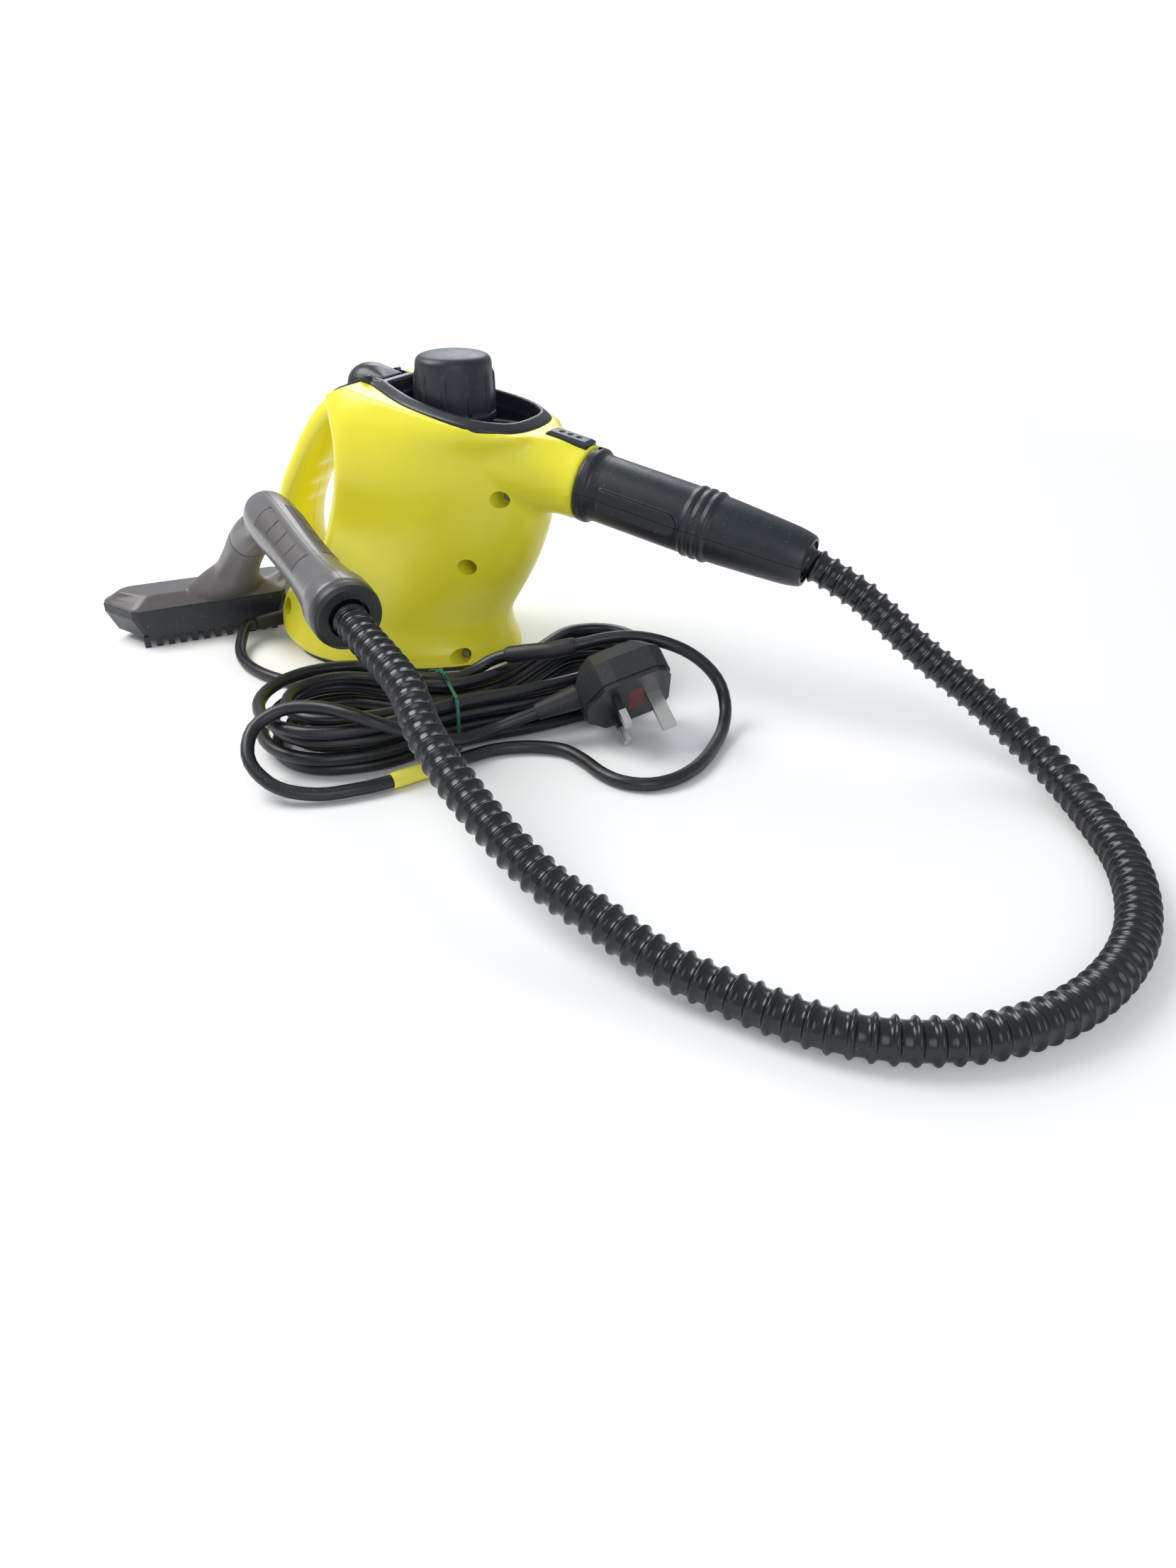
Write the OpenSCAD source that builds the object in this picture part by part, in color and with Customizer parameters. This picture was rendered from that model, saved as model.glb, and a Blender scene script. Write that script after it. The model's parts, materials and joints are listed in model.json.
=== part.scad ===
// Compact hand-held steamer with a hose-fed wallpaper and cleaning head.
// +X is the way the steam nozzle points, +Y is the left side, +Z is up.
// The origin is the middle of the base plate, on the surface it stands on.

/* [Body] */
// Width of the foot
body_w = 128; // [112:1:144]
// Distance from the origin to the front of the foot
foot_front = 82; // [78:1:90]
// Distance from the origin to the rear of the foot
foot_rear = 76; // [70:1:84]
// Width of the waist above the foot
waist_w = 112; // [100:1:124]
// Width of the body at mid height
mid_w = 104; // [98:1:116]
// Width across the shoulder under the top cover
shoulder_w = 84; // [80:1:96]
// Height of the shoulder, measured over the origin
shoulder_h = 159.5; // [158:0.5:168]
// Wall thickness of the two housing halves
wall = 2.5; // [1.8:0.1:3.2]
// Thickness of the base plate
base_t = 2.5; // [2:0.1:4]

/* [Neck] */
// Distance from the origin to the front rim of the neck
neck_x = 133.5; // [128:0.5:142]
// Height of the middle of the neck rim
neck_z = 118; // [112:0.5:121]
// Radius of the neck rim
neck_r = 21.5; // [20:0.5:23]
// How far the neck and the top cover slope down to the front
tilt = 9.7; // [6:0.1:12]

/* [Handle] */
// Thickness of the rear handle
handle_t = 21; // [18:0.5:25]
// Width of the rear handle
handle_w = 40; // [34:0.5:44]

/* [Top cover] */
// Width of the black top cover
cover_w = 75; // [70:1:80]
// Width of the rim around the well
rim_w = 8.5; // [6:0.5:10]
// Height of the floor of the well
well_z = 140; // [136:0.5:142]

/* [Safety cap] */
// Distance from the origin to the axis of the filler neck
cap_x = 46; // [42:0.5:50]
// Diameter of the cap at its lower edge
cap_d = 48; // [44:0.5:50]
// Height of the top of the cap
cap_top = 184; // [180:0.5:190]
// Bore of the filler neck
filler_bore = 20; // [16:0.5:22]
// How far the cap plug lifts to come clear of the filler neck
cap_lift = 26; // [22:1:40]

/* [Steam lever] */
// Width of the steam lever
lever_w = 25; // [20:0.5:28]
// Diameter of the lever pin
lever_pin_d = 3; // [2.5:0.1:4]
// Travel of the valve plunger
plunger_travel = 2.4; // [1.5:0.1:2.8]

/* [Boiler] */
// Outer radius of the boiler
boiler_r = 35; // [30:0.5:36]
// Height of the underside of the boiler
boiler_z0 = 42; // [40:0.5:46]
// Height of the boiler joint
boiler_joint = 84; // [76:0.5:92]
// Height of the top of the boiler
boiler_top = 118; // [112:0.5:120]
// Wall thickness of the boiler
boiler_wall = 2.5; // [2:0.1:3.5]

/* [Accessory adapter] */
// Length of the hose adapter
adapter_len = 136; // [120:1:150]
// Outer radius of the adapter body
adapter_r = 19; // [17.5:0.5:20.5]
// Outer radius of the adapter at its hose end
adapter_end_r = 13.8; // [13:0.2:16]
// Wall thickness of the adapter
adapter_wall = 2.2; // [1.8:0.1:3]

/* [Hose] */
// Outer diameter of the hose over its ribs
hose_d = 19; // [17:0.5:19.5]
// Diameter of the hose in the grooves between ribs
hose_root_d = 15.2; // [13:0.2:16]
// Bore of the hose
hose_bore = 8; // [6:0.5:9]
// Number of ribs along the hose
hose_ribs = 110; // [80:1:130]

/* [Handpiece] */
// Radius of the grip at its hose end
grip_bell_r = 19; // [17:0.5:21]
// Length of the grip
grip_len = 150; // [135:1:165]
// Wall thickness of the grip shells
grip_wall = 2.2; // [1.8:0.1:3]
// Length of the steam head
head_len = 99; // [90:1:106]
// Depth of the steam head
head_depth = 37; // [32:1:42]
// Height of the steam head without its neck
head_h = 33; // [28:0.5:38]
// Number of castellations along each long side of the head
teeth = 13; // [8:1:14]

/* [Power cord] */
// Diameter of the power cord
cord_d = 7; // [6:0.1:7.4]
// Turns of cord in the hank
hank_turns = 6; // [4:2:6]

/* [Mains plug] */
// Width of the plug body
plug_w = 50; // [44:0.5:54]
// Height of the plug body from the cord side to the earth pin side
plug_h = 50; // [44:0.5:54]
// Depth of the plug body behind its face
plug_t = 22; // [18:0.5:28]

/* [Hidden] */

// Gap left between pieces that stay still beside each other
fit = 0.2;
// Gap left beside a piece that moves
move_gap = 0.4;
// Radial play of a shaft in its bore
play = 0.05;
// Small overlap that keeps a cut clean
cut = 0.05;
far = 400;

// ---------------------------------------------------------------- shapes

function unit(v) = v / norm(v);
function side(x) = x < 0 ? -1 : 1;

// Oval with its own reach and squareness to the rear and to the front.
function oval(rear, front, mid, half, rear_n, front_n, count) = [
    for (i = [0:count - 1])
        let (
            t = 360 * i / count,
            c = cos(t),
            s = sin(t),
            n = c < 0 ? rear_n : front_n,
            reach = c < 0 ? mid - rear : front - mid
        )
        [mid + reach * side(c) * pow(abs(c), 2 / n), half * side(s) * pow(abs(s), 2 / n)]
];

// Closed skin over a list of rings that all have as many points.
module skin(rings) {
    n = len(rings[0]);
    m = len(rings);
    polyhedron(
        points = [for (ring = rings) each ring],
        faces = concat(
            [[for (j = [0:n - 1]) j]],
            [for (i = [0:m - 2], j = [0:n - 1])
                let (a = i * n + j, b = i * n + (j + 1) % n)
                each [[a, a + n, b + n], [a, b + n, b]]],
            [[for (j = [n - 1:-1:0]) (m - 1) * n + j]]
        )
    );
}

// Skin whose last ring joins its first, for a tube with a bore.
module skin_loop(rings) {
    n = len(rings[0]);
    m = len(rings);
    polyhedron(
        points = [for (ring = rings) each ring],
        faces = [for (i = [0:m - 1], j = [0:n - 1])
            let (
                a = i * n + j,
                b = i * n + (j + 1) % n,
                c = ((i + 1) % m) * n + (j + 1) % n,
                d = ((i + 1) % m) * n + j
            )
            each [[a, d, c], [a, c, b]]]
    );
}

// Ring of points around a path, level when the path is level.
function ring(p, dir, r, sides) =
    let (across = unit(cross(dir, [0, 0, 1])), over = cross(across, dir))
    [for (k = [0:sides - 1]) p + r * (cos(360 * k / sides) * over + sin(360 * k / sides) * across)];

function path_dir(path, i) = unit(path[min(i + 1, len(path) - 1)] - path[max(i - 1, 0)]);

function tube_rings(path, r, sides) =
    [for (i = [0:len(path) - 1]) ring(path[i], path_dir(path, i), r, sides)];

// Smooth curve through a route's points.
function between(a, b, c, d, t) =
    0.5 * (2 * b + (c - a) * t + (2 * a - 5 * b + 4 * c - d) * t * t
        + (3 * b - a - 3 * c + d) * t * t * t);

function smooth(route, steps) =
    let (last = len(route) - 1)
    concat(
        [for (i = [0:last - 1], k = [0:steps - 1])
            between(route[max(i - 1, 0)], route[i], route[i + 1], route[min(i + 2, last)], k / steps)],
        [route[last]]
    );

// Distance run at each point of a path.
function run_of(path) =
    [for (i = 0, s = 0; i < len(path);
        i = i + 1, s = s + (i < len(path) ? norm(path[i] - path[i - 1]) : 0)) s];

// Points at given distances along a path.
function along(path, distances) =
    let (
        run = run_of(path),
        axis = [for (k = [0:2]) [for (i = [0:len(path) - 1]) [run[i], path[i][k]]]]
    )
    [for (s = distances) [lookup(s, axis[0]), lookup(s, axis[1]), lookup(s, axis[2])]];

function length_of(path) = let (run = run_of(path)) run[len(run) - 1];

function even_points(path, spacing) =
    let (total = length_of(path), count = ceil(total / spacing))
    along(path, [for (i = [0:count]) min(total * i / count, total)]);

// Coil spring that stands on z = 0.
module spring(r, wire, height, turns) {
    steps = 8;
    rise = (height - wire) / (turns * steps);
    skin(tube_rings(
        [for (i = [0:turns * steps])
            [r * cos(360 * i / steps), r * sin(360 * i / steps), wire / 2 + rise * i]],
        wire / 2, 6));
}

module tube(r, bore, h) {
    difference() {
        cylinder(r = r, h = h, $fn = 48);
        translate([0, 0, -cut]) cylinder(r = bore, h = h + 2 * cut, $fn = 48);
    }
}

// ---------------------------------------------------------------- body form

// Level, rear, front, widest place, half width, rear and front squareness, slope
foot_mid = -10;
neck_tilt = tilt + 1.4;
top_level = 3.8;
level_rows = [
    [base_t, 8 - foot_rear, foot_front, foot_mid, body_w / 2 - 0.5, 2.4, 1.7, 0],
    [8, -foot_rear, foot_front - 0.5, foot_mid, body_w / 2, 2.7, 1.75, 0],
    [16, -foot_rear - 4, foot_front - 5, foot_mid, body_w / 2 - 3, 2.8, 1.8, 0],
    [28, -foot_rear - 3, foot_front - 7, foot_mid + 2, waist_w / 2, 2.8, 1.85, 0],
    [45, 16 - foot_rear, foot_front + 3.5, foot_mid + 4, (waist_w + mid_w) / 4, 3, 1.9, 0],
    [62, 36 - foot_rear, foot_front + 13, -4, mid_w / 2, 3.4, 2, 0],
    [90, 50 - foot_rear, foot_front + 24, 0, mid_w / 2 - 1, 3.5, 2, 0],
    [116, 59 - foot_rear, foot_front + 28.5, 0, mid_w / 2 - 2, 3.5, 2, 0],
    [137, 58 - foot_rear, foot_front + 26.5, 2, (mid_w + shoulder_w) / 4, 3.4, 2.1, tilt / 3],
    [shoulder_h - 11, 44 - foot_rear, foot_front + 26, 8, shoulder_w / 2 + 2.5, 2.8, 2.3, tilt * 0.65],
    [shoulder_h, 36 - foot_rear, foot_front + 26, 24, shoulder_w / 2, 2.3, 2.6, tilt],
    [shoulder_h + top_level, 37 - foot_rear, foot_front + 27, 28, cover_w / 2 + 0.9, 2.2, 2.8, tilt]
];

function level_ring(row, inset, count) = [
    for (p = oval(row[1] + inset, row[2] - inset, row[3], row[4] - inset, row[5], row[6], count))
        [p.x, p.y, row[0] - tan(row[7]) * p.x]
];

module body_form() skin([for (row = level_rows) level_ring(row, 0, 36)]);

module body_hollow() {
    skin([for (i = [0:len(level_rows) - 2])
        level_ring(i == 0 ? concat([0], [for (k = [1:7]) level_rows[0][k]]) : level_rows[i], wall, 24)]);
}

// Puts children on the neck axis, with +Z back into the body and +X up.
module at_neck(back = 0) {
    translate([neck_x, 0, neck_z]) rotate([0, neck_tilt - 90, 0]) translate([0, 0, back]) children();
}

// Puts children on the slope of the top, with local z = 0 at the shoulder.
module at_top(rise = 0) {
    translate([0, 0, shoulder_h]) rotate([0, tilt, 0]) translate([0, 0, rise]) children();
}

neck_back = 62;
neck_flare = [[0, 0], [6, 0.1], [14, 1], [24, 3.2], [34, 6.2], [44, 9.2], [54, 11.6], [neck_back, 13]];

module neck_form() {
    difference() {
        at_neck() rotate_extrude($fn = 48)
            polygon(concat([[0, 0]], [for (p = neck_flare) [neck_r + p[1], p[0]]], [[0, neck_back]]));
        at_top(top_level) translate([0, -far / 2, 0]) cube([far, far, far]);
    }
}

module neck_hollow() {
    at_neck(-cut) rotate_extrude($fn = 32)
        polygon([[0, 0], [neck_r - wall, 0], [neck_r - wall, 14], [neck_r + 2, 32],
            [neck_r + 6, 50], [0, 50]]);
}

// Middle line of the rear handle, from the bridge under the lever to the foot.
handle_line = [
    [-6, 149], [-20, 149.5], [-34, 144.5], [-45, 135], [-55, 122], [-64, 108], [-73, 93],
    [-79, 77], [-81, 60], [-78, 44], [-70, 30], [-58, 20]
];

module handle_slice(i, inset) {
    p = handle_line[i];
    before = handle_line[max(i - 1, 0)];
    after = handle_line[min(i + 1, len(handle_line) - 1)];
    d = after - before;
    translate([p.x, 0, p.y]) rotate([0, -atan2(d.y, d.x), 0]) rotate([0, 90, 0])
        linear_extrude(0.1) scale([handle_t / 2 - inset, handle_w / 2 - inset]) circle(1, $fn = 18);
}

module handle_form(inset, first, last) {
    for (i = [first:last - 1]) hull() {
        handle_slice(i, inset);
        handle_slice(i + 1, inset);
    }
}

// Places of the housing screws, as [x, z, depth of the sunk hole from the middle]
screw_places = [[91, 110, 17], [71, 69, 17], [62, 9.5, 26], [-60, 26, 24]];
screw_boss_r = 6.6;
screw_hole_r = 5;

module along_y(x, z, from, to, r) {
    translate([x, from, z]) rotate([-90, 0, 0]) cylinder(r = r, h = to - from, $fn = 24);
}

// The strain relief leaves through the rear right corner.
relief_at = [-73, -24, 11];
relief_turn = 245;
relief_len = 30;
relief_r = 5;

module at_relief(out = 0) {
    translate(relief_at) rotate([0, 0, relief_turn]) rotate([0, 90, 0]) translate([0, 0, out]) children();
}

// Half of the outline of the top cover on the sloping top.
tongue_w = 34;
tongue_len = 28;
tail_x = -8;
tail_slope = 21.8;
cover_half = [
    [tail_x, tongue_w / 2], [0, tongue_w / 2 + 1], [17, cover_w / 2 - 10.5], [32, cover_w / 2 - 4],
    [48, cover_w / 2 - 1], [62, cover_w / 2], [74, cover_w / 2 - 0.5], [84, cover_w / 2 - 3],
    [92, cover_w / 2 - 8], [98, cover_w / 2 - 14], [101.5, 14], [102.5, 5]
];

module cover_outline(inset = 0) {
    offset(delta = -inset) polygon(concat(cover_half,
        [for (i = [len(cover_half) - 1:-1:0]) [cover_half[i].x, -cover_half[i].y]]));
}

// The rear end of the top bends down to the handle.
module at_tail(rise = 0) {
    translate([tail_x, 0, shoulder_h + top_level - tail_x * tan(tilt)]) rotate([0, -tail_slope, 0])
        translate([0, 0, rise]) children();
}

module tail_outline(inset = 0) {
    offset(delta = -inset) polygon([
        [6, tongue_w / 2], [-tongue_len + 7, tongue_w / 2 - 1], [-tongue_len, tongue_w / 2 - 7],
        [-tongue_len, 7 - tongue_w / 2], [-tongue_len + 7, 1 - tongue_w / 2], [6, -tongue_w / 2]
    ]);
}

// The release button sits in the top of the neck.
button_len = 26;
button_w = 13;
button_back = 2.5;
button_top = neck_r + 1.8;
button_floor = neck_r - 9;

module button_block(grow, low, high) {
    at_neck(button_back + button_len / 2)
        translate([low, -button_w / 2 - grow, -button_len / 2 - grow])
            cube([high - low, button_w + 2 * grow, button_len + 2 * grow]);
}

module housing() {
    difference() {
        union() {
            body_form();
            neck_form();
            handle_form(0, 0, len(handle_line) - 1);
        }
        difference() {
            union() {
                body_hollow();
                neck_hollow();
                handle_form(wall, 0, len(handle_line) - 1);
            }
            difference() {
                for (s = screw_places) along_y(s[0], s[1], -far / 8, far / 8, screw_boss_r);
                translate([boiler_x, 0, boiler_z0 - 1]) cylinder(r = boiler_r + 0.6, h = far, $fn = 48);
            }
            at_neck(10) translate([0, 0, 0]) cylinder(r = neck_r, h = 2, $fn = 32);
        }
        at_neck(-cut) cylinder(r = nozzle_seat_r + fit, h = 30, $fn = 32);
        for (s = screw_places) {
            along_y(s[0], s[1], -far / 4, -s[2], screw_hole_r);
            along_y(s[0], s[1], -far / 4, 8, screw_r + 0.15);
        }
        at_top(top_level - 7) linear_extrude(20) cover_outline(-fit);
        at_tail(-6) linear_extrude(20) tail_outline(-fit);
        at_tail() translate([-far, -far / 2, 0]) cube([far + 2, far, far]);
        button_block(move_gap, button_floor - 1, button_top + 6);
        at_relief(-12) cylinder(r = relief_r + fit, h = 30, $fn = 24);
        pocket_for_lever();
        along_y(lever_pivot[0], lever_pivot[1], -tongue_w / 2 - 0.6, tongue_w / 2 + 0.6, lever_pin_d / 2 + play);
    }
}

module right_housing() {
    color("#d8d832") intersection() {
        housing();
        translate([-far / 2, -far, -1]) cube([far, far, far]);
    }
}

module left_housing() {
    color("#d8d832") intersection() {
        housing();
        translate([-far / 2, 0, -1]) cube([far, far, far]);
    }
}

// ---------------------------------------------------------------- base

post_r = 4;
post_ring = boiler_r - 6;
boiler_x = 32;

module base_plate() {
    color("#202224") {
        linear_extrude(base_t) polygon(
            oval(9.5 - foot_rear, foot_front - 1.5, foot_mid, body_w / 2 - 2, 2.4, 1.7, 48));
        for (a = [60, 180, 300])
            translate([boiler_x + post_ring * cos(a), post_ring * sin(a), base_t - cut])
                cylinder(r = post_r, h = boiler_z0 - base_t + cut, $fn = 24);
    }
}

// ---------------------------------------------------------------- top cover

cover_drop = 6;
rim_rise = 7.6;
rim_inset = 5.6;
well_floor_t = 2;
well_len_x = 10;
lever_pivot = [-22, 153.5];
lever_front = 4;
lever_rear = -27;

module well_outline(inset = 0) {
    offset(delta = -inset) intersection() {
        cover_outline(rim_w);
        translate([well_len_x, -60]) square([120, 120]);
    }
}

module pocket_for_lever() {
    translate([lever_rear - 1.5, -lever_w / 2 - move_gap, 149])
        cube([lever_front - lever_rear + 2.5, lever_w + 2 * move_gap, 40]);
}

grommet_r = 17;
cover_underside = -3;

module top_cover() {
    color("#232629") difference() {
        union() {
            at_top(top_level - 6.8) linear_extrude(6.8 + 0.6) cover_outline();
            at_tail(-5.8) linear_extrude(5.8 + 2) tail_outline();
            hull() {
                at_top(top_level + 0.5) linear_extrude(0.1) cover_outline(0.2);
                at_top(rim_rise) linear_extrude(0.1) cover_outline(rim_inset);
            }
            intersection() {
                at_top(-60) linear_extrude(60) well_outline(-well_floor_t);
                translate([-20, -60, well_z - well_floor_t]) cube([160, 120, 60]);
            }
        }
        intersection() {
            at_top(-60) linear_extrude(90) well_outline();
            translate([-20, -60, well_z]) cube([160, 120, 60]);
        }
        at_top(-60) linear_extrude(60 + cover_underside + 3) difference() {
            cover_outline(2);
            well_outline(-well_floor_t);
        }
        translate([cap_x, 0, well_z - 10]) cylinder(r = grommet_r - 3, h = 20, $fn = 48);
        pocket_for_lever();
        lock_slot();
        along_y(lever_pivot[0], lever_pivot[1], -tongue_w, tongue_w, lever_pin_d / 2 + play);
        translate([valve_x, 0, valve_top - 20]) cylinder(r = valve_r + fit, h = 21, $fn = 40);
    }
}

module cover_grommet() {
    color("#1b1d1f") translate([cap_x, 0, well_z]) difference() {
        cylinder(r1 = grommet_r + 6, r2 = grommet_r + 4, h = 4, $fn = 64);
        translate([0, 0, -cut]) cylinder(r = filler_bore / 2 + 3 + fit, h = 5, $fn = 48);
    }
}

// Cross slide behind the lever that blocks it.
lock_at = [-30.8, 0, 154.6];
lock_size = [4.6, 9, 5];
lock_travel = 5;

module lock_slot() {
    translate(lock_at) translate([-lock_size.x / 2 - 0.3, -(lock_size.y + lock_travel) / 2 - 0.3, -2])
        cube([lock_size.x + 0.6, lock_size.y + lock_travel + 0.6, 20]);
}

module child_lock() {
    color("#3a3d40") translate(lock_at) translate([0, -lock_travel / 2, 0])
        translate([-lock_size.x / 2, -lock_size.y / 2, -2 + 0.3]) cube([lock_size.x, lock_size.y, lock_size.z]);
}

// ---------------------------------------------------------------- steam lever and valve

valve_x = -2;
valve_r = 7.5;
valve_top = 146;
plunger_r = 2.5;
plunger_low = 133;
lever_under = 158.6;

module steam_lever() {
    color("#2a2d30") difference() {
        hull() {
            translate([-12.5, 0, 160.5]) scale([16, lever_w / 2, 12.3]) sphere(1, $fn = 24);
            translate([lever_rear + 5, 0, 155]) scale([5, lever_w / 2, 5]) sphere(1, $fn = 24);
            translate([lever_front - 9, -lever_w / 2 + 3, lever_under]) cube([8.4, lever_w - 6, 8]);
            translate([lever_rear + 6, -lever_w / 2 + 1, lever_under - 3]) cube([10, lever_w - 2, 3]);
        }
        translate([valve_x - 15, -8, 140]) cube([30, 16, lever_under - 140]);
        along_y(lever_pivot[0], lever_pivot[1], -lever_w, lever_w, lever_pin_d / 2 + play);
    }
}

module lever_pin() {
    color("#b8babd") along_y(lever_pivot[0], lever_pivot[1], -tongue_w / 2 - 0.4, tongue_w / 2 + 0.4, lever_pin_d / 2);
}

module lever_spring() {
    color("#b8babd") translate([valve_x, 0, valve_top + 0.1])
        spring(5, 1, lever_under - valve_top - 0.4, 5);
}

module steam_valve() {
    color("#b59a52") difference() {
        union() {
            translate([-10, -9, boiler_top]) cube([28, 18, 11]);
            translate([valve_x, 0, boiler_top + 10]) cylinder(r = valve_r, h = valve_top - boiler_top - 10, $fn = 40);
            translate([12, 8.9, boiler_top + 6]) rotate([-90, 0, 0]) cylinder(r = 4.6, h = 5, $fn = 24);
        }
        translate([valve_x, 0, plunger_low - plunger_travel - 1])
            cylinder(r = plunger_r + play, h = 40, $fn = 32);
        translate([12, 2, boiler_top + 6]) rotate([-90, 0, 0]) cylinder(r = 1.5, h = 20, $fn = 24);
    }
}

module valve_plunger() {
    color("#c9cbce") {
        translate([valve_x, 0, plunger_low]) cylinder(r = plunger_r, h = lever_under - 0.2 - plunger_low, $fn = 32);
    }
}

pipe_r = 3;
steam_route = [
    [12, 14.2, 124], [13, 19, 124.5], [22, 25, 126], [38, 28, 127], [56, 26, 127], [72, 18, 125.5],
    [84, 8, 125], [92, 2, 124.6], [98.3, 0, 124.4]
];

module steam_pipe() {
    color("#c98f5a") skin(tube_rings(even_points(smooth(steam_route, 5), 6), pipe_r, 8));
}

nozzle_seat_r = 12;
nozzle_back = 35;
nozzle_out = 14;

spring_seat = button_floor - 1.65;

module nozzle() {
    color("#3a3d40") at_neck(-nozzle_out) difference() {
        union() {
            cylinder(r = 7, h = nozzle_out + nozzle_back, $fn = 40);
            intersection() {
                translate([0, 0, nozzle_out + 12.2]) cylinder(r = nozzle_seat_r + 5, h = 3, $fn = 48);
                translate([spring_seat - far, -far / 2, 0]) cube([far, far, far]);
            }
            translate([5, -5, nozzle_out + button_back + button_len / 2 - 4.5]) cube([spring_seat - 5, 10, 9]);
        }
        translate([0, 0, -cut]) cylinder(r = 4, h = nozzle_out + nozzle_back - 3, $fn = 32);
        translate([0, 0, 4]) rotate_extrude($fn = 40) translate([7, 0]) circle(1.1, $fn = 24);
    }
}

module nozzle_seal() {
    color("#151617") at_neck(4 - nozzle_out) rotate_extrude($fn = 40) translate([7.05, 0]) circle(0.95, $fn = 24);
}

button_travel = 2.5;

module release_button() {
    color("#26292c") at_neck(button_back + button_len / 2) difference() {
        hull() {
            translate([button_floor + 4, -button_w / 2, -button_len / 2]) cube([6, button_w, button_len]);
            translate([button_top - 1, 2 - button_w / 2, 2 - button_len / 2]) cube([1.4, button_w - 4, button_len - 4]);
        }
        for (k = [-1, 0, 1]) translate([button_top + 3.2, 0, 5.5 * k]) sphere(r = 3.6, $fn = 32);
    }
}

module button_spring() {
    color("#b8babd") at_neck(button_back + button_len / 2) rotate([0, 90, 0])
        translate([0, 0, spring_seat + 0.05]) spring(3.6, 0.9, 5.3, 3);
}

// ---------------------------------------------------------------- cap and filler

filler_r = filler_bore / 2 + 3;
filler_top = 158;
plug_play = 0.3;

module filler_neck() {
    color("#b59a52") translate([cap_x, 0, 0]) difference() {
        union() {
            translate([0, 0, boiler_top - 4]) cylinder(r = filler_r - 1, h = 5, $fn = 48);
            translate([0, 0, boiler_top]) cylinder(r = filler_r + 3, h = 3, $fn = 6);
            translate([0, 0, boiler_top + 2]) cylinder(r = filler_r, h = filler_top - boiler_top - 2, $fn = 48);
        }
        translate([0, 0, boiler_top - 5]) cylinder(r = filler_bore / 2, h = 80, $fn = 48);
    }
}

module cap_plug() {
    color("#b59a52") translate([cap_x, 0, 0]) {
        translate([0, 0, filler_top - 20]) cylinder(r = filler_bore / 2 - plug_play, h = 22, $fn = 48);
        translate([0, 0, filler_top + 1.6]) cylinder(r = filler_r, h = 3, $fn = 48);
        translate([0, 0, filler_top + 4]) cylinder(r = 6, h = cap_top - 8 - filler_top - 4, $fn = 48);
    }
}

module cap_seal() {
    color("#a8342a") translate([cap_x, 0, filler_top + 0.05]) tube(filler_r - 0.2, filler_bore / 2, 1.5);
}

cap_low = 146;

module safety_cap() {
    color("#25282b") translate([cap_x, 0, 0]) difference() {
        union() {
            rotate_extrude($fn = 72) polygon([
                [0, cap_low], [cap_d / 2 - 0.6, cap_low], [cap_d / 2, cap_low + 0.8],
                [cap_d / 2, cap_low + 4], [cap_d / 2 - 1.2, cap_low + 5],
                [cap_d / 2 - 2.4, cap_top - 8], [cap_d / 2 - 3.2, cap_top - 4.5],
                [cap_d / 2 - 5.6, cap_top - 2.2], [cap_d / 2 - 10, cap_top - 0.8], [0, cap_top]
            ]);
            for (k = [0:9]) rotate([0, 0, 36 * k])
                translate([cap_d / 2 - 5, -1, cap_low + 2]) cube([4, 2, cap_top - cap_low - 14]);
        }
        translate([0, 0, cap_low - cut]) cylinder(r = cap_d / 2 - 5, h = filler_top + 6 - cap_low, $fn = 64);
        translate([0, 0, cap_low]) cylinder(r = 6 + play, h = cap_top - 7 - cap_low, $fn = 48);
    }
}

// ---------------------------------------------------------------- boiler

flange_r = boiler_r + 7;
flange_t = 3;
bolt_ring = boiler_r + 3.6;

module bolt_places() {
    for (k = [0:5]) translate([boiler_x + bolt_ring * cos(60 * k + 30), bolt_ring * sin(60 * k + 30), 0]) children();
}

module boiler_lower() {
    color("#8f9498") difference() {
        union() {
            translate([boiler_x, 0, boiler_z0]) cylinder(r = boiler_r, h = boiler_joint - 0.5 - boiler_z0, $fn = 64);
            translate([boiler_x, 0, boiler_joint - 0.5 - flange_t]) cylinder(r = flange_r, h = flange_t, $fn = 64);
        }
        translate([boiler_x, 0, boiler_z0 + 3]) cylinder(r = boiler_r - boiler_wall, h = 80, $fn = 64);
        bolt_places() translate([0, 0, boiler_joint - 10]) cylinder(r = 1.65, h = 20, $fn = 24);
    }
}

module boiler_upper() {
    color("#8f9498") difference() {
        union() {
            translate([boiler_x, 0, boiler_joint + 0.5]) cylinder(r = boiler_r, h = boiler_top - boiler_joint - 0.5, $fn = 64);
            translate([boiler_x, 0, boiler_joint + 0.5]) cylinder(r = flange_r, h = flange_t, $fn = 64);
        }
        translate([boiler_x, 0, boiler_joint]) cylinder(r = boiler_r - boiler_wall, h = boiler_top - 3 - boiler_joint, $fn = 64);
        bolt_places() translate([0, 0, boiler_joint - 5]) cylinder(r = 1.65, h = 20, $fn = 24);
        translate([cap_x, 0, boiler_top - 8]) cylinder(r = filler_r - 1 + fit, h = 20, $fn = 48);
        translate([6, 0, boiler_top - 8]) cylinder(r = 1.5, h = 20, $fn = 24);
    }
}

module boiler_seal() {
    color("#a8342a") translate([boiler_x, 0, boiler_joint - 0.5]) tube(boiler_r + 1.4, boiler_r - 1.6, 1);
}

module boiler_screws() {
    color("#b8babd") bolt_places() {
        translate([0, 0, boiler_joint - 6]) cylinder(r = 1.5, h = 10, $fn = 20);
        translate([0, 0, boiler_joint + 0.5 + flange_t]) cylinder(r = 2.8, h = 2, $fn = 20);
    }
}

heater_ring = 20;

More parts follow.
